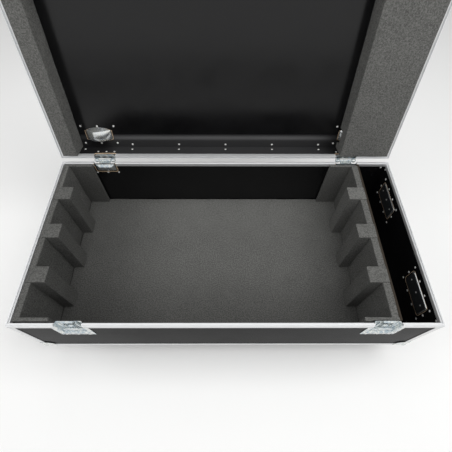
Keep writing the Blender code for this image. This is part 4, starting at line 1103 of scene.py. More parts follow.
class FLIGHTCASE_OT_hinges(Maker, bpy.types.Operator):
    """Builds both recessed hinges: drawn dishes, leaves, knuckles and screws"""

    bl_idname = "flightcase.hinges"
    bl_label = "Hinges"

    def make(self):
        axis_u = HALF_WIDTH - HINGE[1]
        half, drop, depth = HINGE_BOWL
        lid_half, rise, _ = HINGE_LID_BOWL
        knuckle, end_start, end_stop = 0.0210, 0.0213, 0.0372
        margin = FLANGE_HALF - half
        for label, sign in (("left", -1), ("right", 1)):
            def place(points, where=-sign * HINGE_X):
                return on_wall("rear", points, where)

            floor = depth - SKIN
            bowl = scoop(half, drop, floor + 0.0010)
            flange = flange_u(half, -drop, -OUTER_LEG - GAP, margin, SKIN - 0.0003)
            inner = SCOOP_TOP + SKIN
            leaf_outline = rectangle(-knuckle, axis_u, knuckle, inner, 0.003)
            base = [
                bowl,
                flange,
                plate(leaf_outline, -0.0040, -0.0025, along="Z"),
                rod((-knuckle, axis_u, 0), (knuckle, axis_u, 0), 0.0044),
                rod((-end_stop, axis_u, 0), (end_stop, axis_u, 0), 0.0025),
            ]
            base += [screw_head((x, 0.0042, -0.0026), (0, 0, 1)) for x in (-0.012, 0.012)]
            base = [moved(shape, place) for shape in base]
            piece(f"hinge_{label}_base_leaf", base, "blued_zinc", "base", [f"hinge_{label}_base_half"])
            lid_bowl = mirrored(scoop(lid_half, rise, floor + 0.0010, 0.007))
            lid_margin = FLANGE_HALF - lid_half
            lid_flange = mirrored(flange_u(lid_half, -rise, -OUTER_LEG - GAP, lid_margin, SKIN - 0.0003))
            bridge = rectangle(-end_stop, -0.0014, end_stop, inner, 0.003)
            lid = [lid_bowl, lid_flange, plate(bridge, 0.0025, 0.0040, along="Z")]
            for side in (-1, 1):
                near, far = sorted((side * end_start, side * end_stop))
                ear = rectangle(near, axis_u, far, inner, 0.001)
                lid.append(plate(ear, 0.0025, 0.0040, along="Z"))
                centre = np.array([(near + far) / 2, axis_u, 0.0])
                lid.append(self.ball_knuckle(centre, (far - near) / 2, 0.0069))
                stop = side * (end_stop + 0.0001)
                lid.append(screw_head((stop, axis_u, 0), (side, 0, 0), 0.0035, 0.0012))
            lid += [screw_head((x, 0.0040, 0.0026), (0, 0, -1)) for x in (-0.012, 0.012)]
            lid = [moved(shape, place) for shape in lid]
            piece(f"hinge_{label}_lid_leaf", lid, "blued_zinc", "lid", [f"hinge_{label}_lid_half"])

    def ball_knuckle(self, centre, reach, radius):
        """An end knuckle pressed to a barrel: its radius falls off as a superellipse along the pin."""
        share = np.sin(np.linspace(-pi / 2, pi / 2, 17))
        profile = np.column_stack([radius * (1 - np.abs(share) ** 2.4) ** (1 / 2.4), share * reach])
        return turned(profile, centre, (1, 0, 0), 28)


class FLIGHTCASE_OT_latches(Maker, bpy.types.Operator):
    """Builds both butterfly latches: dishes, keepers, hooks, turning bosses and folding wings"""

    bl_idname = "flightcase.latches"
    bl_label = "Latches"

    def make(self):
        half, drop, depth, rise = LATCH_BOWL
        floor = depth - SKIN
        margin = FLANGE_HALF - half
        for label, x in LATCH_X.items():
            def place(points, where=x):
                return on_wall("front", points, where)

            bowl = dish(half, -drop, -GAP, wall_of_dish(floor), 0.007, SKIN)
            flange = flange_u(half, -drop, -OUTER_LEG - GAP, margin, SKIN - 0.0003)
            guides = [
                plate(rectangle(s - 0.002, -0.040, s + 0.002, -0.001, 0.001), floor - 0.0045, floor)
                for s in (-0.0195, 0.0195)
            ]
            shapes = [moved(shape, place) for shape in (bowl, flange, *guides)]
            piece(f"latch_{label}_bowl", shapes, "blued_zinc", "base", [f"latch_{label}_dish"])
            keeper_bowl = mirrored(dish(half, -rise, -GAP, wall_of_dish(floor), 0.007, SKIN))
            keeper_flange = mirrored(flange_u(half, -rise, -OUTER_LEG - GAP, margin, SKIN - 0.0003))
            strap = plate(rectangle(-0.018, 0.003, 0.018, rise - 0.0004, 0.002), 0.0020, 0.0035)
            lid_shapes = [moved(shape, place) for shape in (keeper_bowl, keeper_flange, strap)]
            piece(f"latch_{label}_catch", lid_shapes, "zinc", "lid", [f"latch_{label}_keeper"])
            self.boss(label, place, floor)
            self.wing(label, place)
            self.hook(label, place, floor)

    def boss(self, label, place, floor):
        """A turned button with a domed face, a waist and its shaft."""
        axis = middle(f"latch_{label}_boss")[2] - RIM
        front, back = 0.0038, 0.0108
        radius, shaft = 0.010, 0.004
        profile = [
            (0, front), (0.35 * radius, front + 0.0002), (0.7 * radius, front + 0.0006),
            (0.92 * radius, front + 0.0015), (radius, front + 0.0028), (radius, back - 0.001),
            (radius - 0.001, back), (shaft, back), (shaft, floor + SKIN), (0, floor + SKIN),
        ]
        button = turned(profile, (0, 0, axis), (0, 1, 0), 40)
        node, body = f"latch_{label}_boss", f"latch_boss_{label}"
        piece(f"latch_{label}_button", [moved(button, place)], "blued_zinc", body, [node])

    def wing(self, label, place):
        """The folding wing: a butterfly outline, thicker along its edge, hung on a round barrel."""
        low, high = corners(f"latch_{label}_wing")
        span, foot, top = (high[0] - low[0]) / 2, low[2] - RIM, high[2] - RIM - 0.0018
        root = 0.008
        side = [
            (root, top), (span - 0.006, top - 0.0045), (span, top - 0.010), (span, foot + 0.005),
            (span - 0.005, foot), (root, foot + 0.009),
        ]
        outline = side + [(-s, v) for s, v in reversed(side)]
        leaf = plate(rounded(outline, 0.004, 5), 0.0009, 0.0025)
        ribs = [
            plate(rectangle(s - 0.0035, foot + 0.004, s + 0.0035, top - 0.011, 0.002), 0.0004, 0.0012)
            for s in (-span + 0.0085, span - 0.0085)
        ]
        barrel = rod((-root, 0.0017, top), (root, 0.0017, top), 0.0018, 16)
        shapes = [moved(shape, place) for shape in (leaf, *ribs, barrel)]
        node, body = f"latch_{label}_wing", f"latch_wing_{label}"
        piece(f"latch_{label}_butterfly", shapes, "blued_zinc", body, [node])

    def hook(self, label, place, floor):
        """The drawn hook: a slotted plate whose top is bent forward over the keeper."""
        low, high = corners(f"latch_{label}_hook")
        half, foot, top = (high[0] - low[0]) / 2, low[2] - RIM, high[2] - RIM
        back = floor - GAP
        front = back - 0.0026
        nose = 0.0077
        profile = [
            (back, foot), (back, top - 0.003), (back - 0.0012, top - 0.0008), (back - 0.003, top),
            (back - nose + 0.0012, top), (back - nose, top - 0.0010), (back - nose + 0.0006, top - 0.0027),
            (front - 0.0008, top - 0.0028), (front, top - 0.0036), (front, foot),
        ]
        slot = 0.0046
        legs = []
        for start, end in ((-half, -slot), (slot, half)):
            legs.append(self.strip(profile, start, end))
        slot_top = -0.0094
        bridge = [(u, max(v, slot_top)) for u, v in profile]
        legs.append(self.strip(bridge, -slot, slot))
        shapes = [moved(shape, place) for shape in legs]
        piece(f"latch_{label}_claw", shapes, "blued_zinc", f"latch_hook_{label}", [f"latch_{label}_hook"])

    def strip(self, profile, start, end):
        """A profile in u and v, carried along s."""
        ring = rounded(profile, 0.0003, 2)
        return carried(np.stack([np.column_stack([np.full(len(ring), s), ring]) for s in (start, end)]))


class FLIGHTCASE_OT_handles(Maker, bpy.types.Operator):
    """Builds the recessed handles: drawn dishes, steel bails and rubber grips"""

    bl_idname = "flightcase.handles"
    bl_label = "Handles"

    def make(self):
        half, height, depth = HANDLE_BOWL
        floor = depth - SKIN
        margin = HANDLE_FLANGE
        section = [(-margin, 0.0004), (-margin + 0.0004, 0)] + wall_of_dish(floor)
        bowl = dish(half, -height, (height,), section, 0.009, SKIN - 0.0003, flange=(margin, 0.004))
        axis, arm, bar_low, bar_high = 0.018, 0.049, -0.020, -0.009
        lugs = []
        for end in (-1, 1):
            near, far = sorted((end * 0.0524, end * (half - 0.001)))
            outline = rectangle(near, axis - 0.005, far, axis + 0.005, 0.002)
            lugs.append(plate(outline, 0.0012, floor + 0.0004))
        middle_v = (bar_low + bar_high) / 2
        turn = np.linspace(0, pi / 2, 6)
        bend = 0.006
        left = np.column_stack([-arm + bend - bend * np.cos(turn), middle_v + bend - bend * np.sin(turn)])
        right = np.column_stack([arm - bend + bend * np.sin(turn), middle_v + bend - bend * np.cos(turn)])
        path = np.concatenate([[(-arm, axis)], left, right, [(arm, axis)]])
        path = np.column_stack([path[:, 0], np.full(len(path), 0.0040), path[:, 1]])
        bail = tube(path, 0.0019)
        barrel = rod((-0.052, 0.0040, axis), (0.052, 0.0040, axis), 0.0024)
        sleeve = self.sleeve(0.0405, middle_v)
        for side, sign in (("left", -1), ("right", 1)):
            for where, along in (("front", -sign), ("rear", sign)):
                def place(points, wall=side, s=along * HANDLE_Y):
                    return on_wall(wall, points, s, HANDLE_V)

                name, body = f"handle_{side}_{where}", f"grip_{side}_{where}"
                fixed = [moved(shape, place) for shape in (bowl, *lugs)]
                swinging = [moved(shape, place) for shape in (bail, barrel)]
                piece(f"{name}_bowl", fixed, "zinc", "base", [f"{name}_dish"])
                piece(f"{name}_bail", swinging, "zinc", body, [f"{name}_grip"])
                piece(f"{name}_sleeve", [moved(sleeve, place)], "grip", body, [f"{name}_grip"])

    def sleeve(self, reach, middle_v):
        """The grip: a superellipse across, carried along, its radius swelling in fifteen shallow ribs."""
        s = np.linspace(-reach, reach, 121)
        share = s / reach
        ends = np.clip((1 - np.abs(share)) / 0.03, 0, 1) ** 0.5
        swell = 1 + 0.07 * np.abs(np.sin(share * 7.5 * pi))
        angle = np.linspace(0, 2 * pi, 28, endpoint=False)
        across = np.sign(np.cos(angle)) * np.abs(np.cos(angle)) ** 0.7
        up = np.sign(np.sin(angle)) * np.abs(np.sin(angle)) ** 0.7
        size = (0.72 + 0.28 * ends) * swell
        rings = np.stack(
            [
                np.repeat(s[:, None], len(angle), axis=1),
                0.0040 + 0.0026 * size[:, None] * across,
                middle_v + 0.0054 * size[:, None] * up,
            ],
            axis=-1,
        )
        return carried(rings)


class FLIGHTCASE_OT_cups(Maker, bpy.types.Operator):
    """Sinks the four wheel cups into the lid"""

    bl_idname = "flightcase.cups"
    bl_label = "Wheel cups"

    def make(self):
        shape = self.cup()
        for side, x in (("left", -CASTOR_X), ("right", CASTOR_X)):
            for where, y in (("front", -CASTOR_Y), ("rear", CASTOR_Y)):
                def place(points, corner=(x, y, RIM + LID_SKIN_TOP)):
                    return points + np.array(corner)

                name = f"wheel_cup_{side}_{where}"
                piece(f"{name}_pressing", [moved(shape, place)], "zinc", "lid", [name])

    def cup(self):
        """A flat plate with a trough pressed into it, as a depth over a grid.

        Along X the trough is an arc round the wheel, cut off by steep ends. Past its flat width the depth
        falls off at the draft of the side walls, with a soft edge, down to the plate. The flat is crowned: it
        is deepest on its middle line.
        """
        reach = sqrt(CUP_RADIUS**2 - (CUP_RADIUS - CUP_DEPTH) ** 2)
        x = np.unique(np.concatenate([CUP_PLATE[0] * np.linspace(-1, 1, 41), reach * np.linspace(-1, 1, 81)]))
        near, soft = CUP_TOP_HALF, 0.0014
        half_y = np.concatenate(
            [np.linspace(0, near - 0.003, 8), np.linspace(near - 0.003, near + 0.003, 13)[1:],
             np.linspace(near + 0.003, CUP_PLATE[1], 26)[1:]]
        )
        y = np.concatenate([-half_y[:0:-1], half_y])
        grid_x, grid_y = np.meshgrid(x, y, indexing="ij")
        arc = np.sqrt(np.clip(CUP_RADIUS**2 - grid_x**2, 0, None)) - (CUP_RADIUS - CUP_DEPTH)
        arc = np.minimum(arc, (CUP_HALF - GAP - np.abs(grid_x)) / CUP_END_DRAFT)
        past = np.abs(grid_y) - near
        fall = (np.sqrt(past**2 + soft**2) + past) / 2 / CUP_DRAFT
        crown = CUP_CROWN * np.clip(np.abs(grid_y) / near, 0, 1) ** 2
        depth = np.clip(arc - fall - crown, 0, None)
        return sheet(
            np.stack([grid_x, grid_y, -depth], axis=-1), np.stack([grid_x, grid_y, -depth - SKIN], axis=-1)
        )


def cup_hole():
    """A cup's hole at the panel's inner face: straight ends, and sides that bulge with the trough."""
    half = CUP_HALF
    x = half * np.linspace(-0.9, 0.9, 19)
    arc = np.sqrt(CUP_RADIUS**2 - x**2) - (CUP_RADIUS - CUP_DEPTH) - (LID_SKIN_TOP - LID_INNER_HEIGHT)
    side = np.maximum(CUP_HOLE_END, CUP_TOP_HALF + CUP_DRAFT * arc - 0.0010)
    ends = rectangle(-half, -CUP_HOLE_END, half, CUP_HOLE_END, 0.003)
    quarter = len(ends) // 4
    below, above = np.column_stack([x, -side]), np.column_stack([x[::-1], side])
    return np.concatenate([ends[:quarter], below, ends[quarter:3 * quarter], above, ends[3 * quarter:]])


class FLIGHTCASE_OT_castors(Maker, bpy.types.Operator):
    """Builds the castors: tyres on moulded cores, pressed housings and raceways"""

    bl_idname = "flightcase.castors"
    bl_label = "Castors"

    def make(self):
        for side in ("left", "right"):
            for where in ("front", "rear"):
                self.wheel(f"castor_{side}_{where}", f"wheel_{side}_{where}")
        for where in ("front", "rear"):
            left, right, fork = f"castor_left_{where}", f"castor_right_{where}", f"fork_right_{where}"
            refined(f"{left}_bracket", f"{left}_housing", "zinc", "base", 0.0009)
            refined(f"{right}_plate", f"{right}_raceway", "zinc", "base", 0.0006)
            refined(f"{right}_fork", f"{right}_housing", "zinc", fork, 0.0009)

    def wheel(self, name, body):
        """A crowned tyre with a bead on each side, on a core with a web, a hub and eight moulded ribs."""
        centre = middle(f"{name}_wheel")
        radius, half, face = 0.050, 0.018, 0.0372
        crown = np.linspace(-1, 1, 15)
        tread = [(radius - 0.0005 - 0.0035 * c**4, c * (half - 0.0012)) for c in crown]
        tyre = [
            (face, -half + 0.0010), (face + 0.002, -half), (radius - 0.0085, -half + 0.0002),
            (radius - 0.0055, -half + 0.0004), *tread, (radius - 0.0055, half - 0.0004),
            (radius - 0.0085, half - 0.0002), (face + 0.002, half), (face, half - 0.0010),
        ]
        near = [
            (0.0058, -0.0215), (0.0135, -0.0215), (0.0142, -0.0205), (0.0146, -0.0125), (0.0155, -0.0115),
            (0.0325, -0.0125), (0.0345, -0.0165), (face - 0.0003, -0.0168),
        ]
        core = near + [(out, -along) for out, along in reversed(near)]
        axis = (0, 1, 0)
        piece(f"{name}_tyre", [turned(tyre, centre, axis, 72, ring=True)], "tyre", body, [f"{name}_wheel"])
        ribs = []
        for angle in np.arange(8) * pi / 4:
            box = soft_box((0.0135, -0.0155, -0.0011), (0.0340, 0.0155, 0.0011), 0.0004, 0.02)
            turn = np.array([[cos(angle), 0, sin(angle)], [0, 1, 0], [-sin(angle), 0, cos(angle)]])
            ribs.append(moved(box, lambda points, turn=turn: points @ turn.T + centre))
        hub = turned(core, centre, axis, 48, ring=True)
        piece(f"{name}_core", [hub, *ribs], "core", body, [f"{name}_wheel"])


def refined(node, name, finish, body, bend):
    """A copy of a solid with its points merged, its flat faces joined and its edges eased."""
    source = frame["nodes"][node]
    mesh = source.data.copy()
    mesh.name = name
    work = bmesh.new()
    work.from_mesh(mesh)
    bmesh.ops.remove_doubles(work, verts=work.verts, dist=1e-6)
    bmesh.ops.dissolve_limit(work, angle_limit=radians(1), verts=work.verts, edges=work.edges)
    work.to_mesh(mesh)
    work.free()
    mesh.materials.clear()
    mesh.materials.append(material(finish))
    mesh.shade_smooth()
    mesh.set_sharp_from_angle(angle=radians(35))
    thing = bpy.data.objects.new(name, mesh)
    bpy.context.scene.collection.objects.link(thing)
    bevel = thing.modifiers.new("ease", "BEVEL")
    bevel.width = bend
    bevel.segments = 2
    bevel.limit_method = "ANGLE"
    bevel.angle_limit = radians(40)
    bevel.harden_normals = True
    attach(thing, body)
    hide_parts(node)
    return thing


class FLIGHTCASE_OT_foam(Maker, bpy.types.Operator):
    """Cuts the foam: floor, walls with ribs and pads, and the lid's two blocks"""

    bl_idname = "flightcase.foam"
    bl_label = "Foam"

    def make(self):
        self.floor()
        for side in ("left", "right"):
            self.walls(side)
            self.pads(side)
        self.lid_blocks()

    def walls(self, side):
        """The wall in four lengths with ribs between them. At the left the last length is in two layers: the
        facing one painted lighter as light, the back one painted darker as shade.
        """
        node, rise, painted_light_levels = f"{side}_foam", sizes().wall_rise, FOAM_PAINTED_LIGHT[side]
        out, face = WALL_SPAN[side]
        bounds = [-PAD_FACE, *(y + half for y in RIB_PLACES for half in (-RIB_HALF, RIB_HALF)), PAD_FACE]
        for index in range(0, len(bounds), 2):
            name, run = f"{node}_wall_{index // 2 + 1}", (bounds[index] - LAP, bounds[index + 1] + LAP)
            if side == "left" and run[1] > PAD_FACE:
                layer, back, front = face - FACING, painted_light_levels[0] * BACK_PAINTED_SHADE, painted_light_levels[0] * FACING_PAINTED_LIGHT
                self.block(f"{name}_back", (out, layer), run, rise, node, back, 11 + index)
                self.block(f"{name}_facing", (layer - LAP, face), run, rise, node, front, 12)
            else:
                self.block(name, (out, face), run, rise, node, painted_light_levels[0], 11 + index)
        for index, y in enumerate(RIB_PLACES):
            name, run, tone = f"{node}_rib_{index + 1}", (y - RIB_HALF, y + RIB_HALF), painted_light_levels[index + 1]
            self.block(name, RIB_SPAN[side], run, sizes().rib_rise, node, tone, 20 + index)

    def pads(self, side):
        """A pad in each corner, the front one as tall as the wall. At the right the latches' bowls cut it."""
        node, tone, (near, far) = f"{side}_foam", FOAM_PAINTED_LIGHT[side][0], PAD_SPAN[side]
        pads = [("pad", (near, far), PAD_END)]
        if side == "right":
            pads = [
                ("pad", (near, BOWL_NOTCH), PAD_END),
                ("thin_pad", (BOWL_NOTCH - LAP, far), CLEAR_OF_BOWLS),
            ]
        for label, sign, rise in (("front", -1, sizes().wall_rise), ("rear", 1, sizes().pad_rise)):
            for word, span, reach in pads:
                run = sorted((sign * PAD_FACE, sign * reach))
                self.block(f"{node}_{label}_{word}", span, run, rise, node, tone, 30)

    def floor(self):
        """The floor sheet, with a soft ripple and painted light: lighter in the middle, with painted shade
        towards its edges.
        """
        low, high = corners("floor_foam")
        self.soft("floor_foam_sheet", low, high, "floor_foam", self.use, 5)

    def use(self, points):
        """The floor's painted light and shade: smooth steps down to the front, the left and the right, and up
        to the rear.
        """
        x, y = points[:, 0], points[:, 1]
        ends = (1 - 0.30 * eased(x, -0.15, -0.48)) * (1 - 0.14 * eased(x, 0.15, 0.38))
        return FLOOR_PAINTED_LIGHT * ends * (1 - 0.34 * eased(y, 0.02, -0.25)) * (1 + 0.12 * eased(y, 0.05, 0.20))

    def block(self, name, x_span, y_span, rise, node, tone, seed):
        """One block of a foam wall; a block that stands above its solid's height gets a mesh of its own."""
        foot, closed_top = corners(node)[0][2], corners(node)[1][2]
        top = RIM + rise
        thing = self.soft(name, (x_span[0], y_span[0], foot), (x_span[1], y_span[1], top), node, tone, seed)
        if top > closed_top:
            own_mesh(thing)

    def soft(self, name, low, high, node, tone, seed, body="base"):
        """A padded block. By the left end its outer side leans in above the rim, clear of the lid's rim."""
        edge, wave, step = sizes().foam_edge, sizes().foam_wave, sizes().foam_grid
        shape = soft_box(low, high, edge, step, wave, seed)
        if body == "base" and low[0] < FOAM_LEFT:
            x, _, z = shape["points"].T
            shape["points"][:, 0] += LEAN * np.clip(z - RIM, 0, None) * (high[0] - x) / (high[0] - low[0])
        painted_light_levels = tone(shape["points"]) if callable(tone) else tone
        thing = piece(name, [shape], "foam", body, [node], painted_light_levels, sharp=60)
        return thing

    def lid_blocks(self):
        """The lid's blocks, drawn closed, as thick as from the lid's panel to just past the rim.

        The right one stops short of the latch's keeper, and is cut back round the wheel cups by the panel.
        """
        edge = corners("left_foam")[1][1]
        foot, head = RIM - sizes().lid_foam_rise, RIM + LID_INNER_HEIGHT - GAP
        ledge = head - CUP_LEDGE
        cups = [sorted((sign * (CASTOR_Y - CUP_GAP), sign * (CASTOR_Y + CUP_GAP))) for sign in (-1, 1)]
        bounds = [-CLEAR_OF_BOWLS, *cups[0], *cups[1], edge]
        (start, end), (near, far) = LID_FOAM_SPAN["left"], LID_FOAM_SPAN["right"]
        blocks = {
            "left_foam_block": ((start, -edge, foot), (end, edge, head)),
            "right_foam_block": ((near, -CLEAR_OF_BOWLS, foot), (far, edge, ledge)),
            "right_foam_core": ((CUP_FACE, -CLEAR_OF_BOWLS, ledge - LAP), (far, edge, head)),
        }
        for index in range(0, len(bounds), 2):
            low, high = (near, bounds[index], ledge - LAP), (CUP_FACE + LAP, bounds[index + 1], head)
            blocks[f"right_foam_strip_{index // 2 + 1}"] = (low, high)
        for label, (low, high) in blocks.items():
            node = f"lid_{label.split('_')[0]}_foam"
            thing = self.soft(f"lid_{label}", low, high, node, LID_FOAM_PAINTED_LIGHT, 40, "lid")
            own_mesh(thing)


def dome(centre, out, radius, height, sides=12):
    """A rivet head: a low dome turned about the rivet's axis."""
    share = np.array([0, 0.5, 0.85, 1.0])
    profile = [(radius * s, height * (1 - s * s) ** 0.5) for s in share] + [(radius, -0.0006), (0, -0.0006)]
    return turned(profile, np.asarray(centre, float), out, sides)


class FLIGHTCASE_OT_rivets(Maker, bpy.types.Operator):
    """Sets the rivets: domed heads outside, and tails on washers inside"""

    bl_idname = "flightcase.rivets"
    bl_label = "Rivets"

    def make(self):
        heads, tails = {"base": [], "lid": []}, {"base": [], "lid": []}
        head = (sizes().rivet_radius, sizes().rivet_height)
        for body, side, s, v, depth, seen in self.wall_rivets():
            if depth is not None:
                heads[body].append(dome(on_wall(side, np.array([s, depth, v])), -inward(side), *head))
            if seen:
                tails[body] += self.tail(on_wall(side, np.array([s, PANEL_IN, v])), inward(side))
        for x, y, inside in self.top_rivets():
            heads["lid"].append(dome((x, y, RIM + LID_SKIN_TOP), (0, 0, 1), *head))
            if inside:
                point = np.array([x, y, RIM + LID_INNER_HEIGHT])
                tails["lid"] += self.tail(point, np.array([0.0, 0.0, -1.0]))
        for x, y in self.bottom_rivets():
            heads["base"].append(dome((x, y, UNDERSIDE - SKIN - GAP), (0, 0, -1), *head))
        for body in ("base", "lid"):
            piece(f"{body}_rivet_heads", heads[body], "rivet", body)
            piece(f"{body}_rivet_tails", tails[body], "rivet", body)

    def tail(self, point, out):
        """A set tail: a low button on a thin washer."""
        washer = [(0, 0.0005), (sizes().washer_radius - 0.0003, 0.0005), (sizes().washer_radius, 0.0002),
                  (sizes().washer_radius, -0.0003), (0, -0.0003)]
        return [
            turned(washer, point, out, 12),
            dome(point + out * 0.0005, out, sizes().tail_radius, 0.0013),
        ]

    def wall_rivets(self):
        """Each rivet through a wall: body, wall, place along it, height, head's depth, and a shown tail."""
        made = []
        latch_half, latch_drop, _, latch_rise = LATCH_BOWL
        for x in LATCH_X.values():
            side_s = (latch_half + FLANGE_HALF) / 2
            for s, v in [(-side_s, -0.035), (-side_s, -0.062), (side_s, -0.035), (side_s, -0.062)]:
                made.append(("base", "front", x + s, v, 0.0, True))
            made += [("base", "front", x + s, -latch_drop - 0.0065, 0.0, True) for s in (-0.034, 0, 0.034)]
            made += [("lid", "front", x + s, latch_rise + 0.0045, 0.0, True) for s in (-0.031, 0, 0.031)]
        for x in (-HINGE_X, HINGE_X):
            foot = -HINGE_BOWL[1] - 0.0065
            made += [("base", "rear", -x + s, foot, 0.0, True) for s in (-0.040, 0.0, 0.040)]
            made += [("lid", "rear", -x + s, 0.0345, 0.0, True) for s in (-0.030, 0.0, 0.030)]
        for side in ("left", "right"):
            for y in (-HANDLE_Y, HANDLE_Y):
                points = [(s, v) for s in (-0.0692, -0.023, 0.023, 0.0692) for v in (-0.0385, 0.0385)]
                points += [(-0.0708, 0.0), (0.0708, 0.0)]
                made += [("base", side, y + s, HANDLE_V + v, 0.0, True) for s, v in points]
        lid_v = LID_INNER_HEIGHT - LID_WALL_ROW
        foot_v = UNDERSIDE + EDGE_ROW - RIM
        for side in ("front", "rear"):
            for x in np.arange(-3, 4) * ROW_PITCH:
                shown = abs(x) < FOAM_HIDES or (side == "rear" and x > 0)
                made.append(("lid", side, x, lid_v, 0.0, shown))
                made.append(("base", side, x, foot_v, 0.0, False))
        for side in ("left", "right"):
            for y in END_PLACES:
                made.append(("lid", side, y, lid_v, 0.0, False))
                made.append(("base", side, y, foot_v, 0.0, False))
        long, short = HALF_LENGTH - 0.0215, HALF_WIDTH - 0.0195
        for side, reach in (("front", long), ("rear", long), ("left", short), ("right", short)):
            for sign in (-1, 1):
                inside = side == "right" or (side in ("front", "rear") and (sign > 0) == (side == "front"))
                made.append(("base", side, sign * reach, -0.0095, 0.0, False))
                made.append(("base", side, sign * (reach + 0.0115), -0.030, 0.0, False))
                made.append(("base", side, sign * (reach + 0.0115), -0.110, 0.0, False))
                made.append(("lid", side, sign * reach, 0.0095, 0.0, False))
                if inside:
                    made.append(("base", side, sign * reach, -0.0195, None, True))
        return made

    def top_rivets(self):
        """Each rivet through the lid's top: X, Y and if its tail shows."""
        made = []
        edge = HALF_WIDTH - TOP_ROW
        for x in np.arange(-3, 4) * ROW_PITCH:
            made += [(x, side * edge, abs(x) < FOAM_HIDES) for side in (-1, 1)]
        for y in END_PLACES:
            made += [(side * (HALF_LENGTH - TOP_END_ROW), y, False) for side in (-1, 1)]
        for x in (-CASTOR_X, CASTOR_X):
            for y in (-CASTOR_Y, CASTOR_Y):
                for s in (-0.0596, 0, 0.0596):
                    made += [(x + s, y + t, (x + s) < FOAM_HIDES) for t in (-0.0336, 0.0336)]
        return made

    def bottom_rivets(self):
        """Each rivet through the bottom: X and Y."""
        made = []
        for x in np.arange(-2, 3) * ROW_PITCH:
            made += [(x, side * (HALF_WIDTH - EDGE_ROW)) for side in (-1, 1)]
        for y in (-0.12, 0.12, -0.04, 0.04):
            made += [(side * (HALF_LENGTH - EDGE_ROW), y) for side in (-1, 1)]
        return made


class FLIGHTCASE_OT_details(Maker, bpy.types.Operator):
    """Adds the bare plywood round the cut-outs, the dark plates behind the handles, which are painted
    reflection, and the castors' bolts
    """

    bl_idname = "flightcase.details"
    bl_label = "Cut edges, plates and bolts"

    def make(self):
        self.cut_edges()
        self.back_plates()
        self.castor_bolts()

    def cut(self, half, drop, top, width, radius=BOWL_BEND):
        """The bare plywood round one cut-out: a thin strip just inside the panel's inner face."""
        section = [(-width, PANEL_IN + 0.0003), (-0.0001, PANEL_IN + 0.0003)]
        return dish(half, -drop, top, section, radius, -0.0006, spine=False)

    def cut_edges(self):
        """The bare plywood round every cut-out, and the film round each wheel cup's hole."""
        width = sizes().cut_width
        base, lid = [], []
        half, drop, _, rise = LATCH_BOWL
        for x in LATCH_X.values():
            for strips, strip in (
                (base, self.cut(half, drop, -BASE_INNER_LEG, width)),
                (lid, mirrored(self.cut(half, rise, -LID_CUT_TOP, width))),
            ):
                strips.append(moved(strip, lambda points, x=x: on_wall("front", points, x)))
        for x in (-HINGE_X, HINGE_X):
            strip = self.cut(*HINGE_BOWL[:2], -GAP, width)
            by_rim = strip["points"][:, 2] > -BASE_INNER_LEG
            strip["points"][by_rim, 1] += RIM_IN - PANEL_IN
            base.append(moved(strip, lambda points, x=x: on_wall("rear", points, x)))
            strip = mirrored(self.cut(*HINGE_LID_BOWL[:2], -LID_CUT_TOP, HINGE_LID_CUT))
            lid.append(moved(strip, lambda points, x=x: on_wall("rear", points, x)))
        half, height, _ = HANDLE_BOWL
        for side in ("left", "right"):
            for y in (-HANDLE_Y, HANDLE_Y):
                strip = self.cut(half, height, (height,), sizes().handle_cut, HANDLE_BEND)
                base.append(moved(strip, lambda points, y=y, side=side: on_wall(side, points, y, HANDLE_V)))
        hole, level = cup_hole(), RIM + LID_INNER_HEIGHT
        share = np.maximum(np.abs(hole[:, 0]) / 0.0535, np.abs(hole[:, 1]) / 0.0345)[:, None]
        surrounds = []
        for x in (-CASTOR_X, CASTOR_X):
            for y in (-CASTOR_Y, CASTOR_Y):
                spot = np.array([x, y])
                surrounds.append(frame_of(spot + hole, spot + hole / share, level - 0.0002, level + 0.0002))
                lid.append(frame_of(spot + hole, spot + hole * CUP_CUT, level - 0.0005, level + 0.0001))
        piece("lid_cup_surrounds", surrounds, "dusty_laminate", "lid")
        piece("base_cut_edges", base, "plywood", "base")
        piece("lid_cut_edges", lid, "plywood", "lid")

    def back_plates(self):
        """The dark plate behind each handle, which paints in the dark compartment mirrored by the dish's
        back, and the rivets that hold the handle's spring.
        """
        backs, rivets = [], []
        reach, rise, depth = HANDLE_BOWL[0] - 0.0048, HANDLE_BOWL[1] - 0.0046, HANDLE_BOWL[2]
        cover = plate(rectangle(-reach, -rise, reach, rise, 0.006, 4), depth - 0.0001, depth + 0.0006)
        for side in ("left", "right"):
            for y in (-HANDLE_Y, HANDLE_Y):
                backs.append(moved(cover, lambda points, y=y, side=side: on_wall(side, points, y, HANDLE_V)))
                for s in (-0.042, 0, 0.042):
                    point = on_wall(side, np.array([y + s, depth + 0.0005, HANDLE_V + 0.006]))
                    rivets.append(dome(point, inward(side), 0.0026, 0.0011))
        piece("handle_spring_rivets", rivets, "rivet", "base")
        piece("handle_back_plates", backs, "black_steel", "base")

    def castor_bolts(self):
        """Four bolts through each castor's plate."""
        bolts = []
        for side in ("left", "right"):
            for where, y in (("front", -CASTOR_Y), ("rear", CASTOR_Y)):
                x = -CASTOR_X if side == "left" else middle(f"castor_right_{where}_plate")[0]
                for s in (-0.043, 0.043):
                    for t in (-0.031, 0.031):
                        bolts.append(self.bolt(np.array([x + s, y + t, UNDERSIDE - 0.0033])))
        piece("castor_bolts", bolts, "dull_zinc", "base")

    def bolt(self, point):
        """A washer and a hexagon head, turned with six sides."""
        profile = [(0, 0.0045), (0.0058, 0.0045), (0.0065, 0.0038), (0.0065, -0.0001), (0, -0.0001)]
        return turned(profile, point, (0, 0, -1), 6)


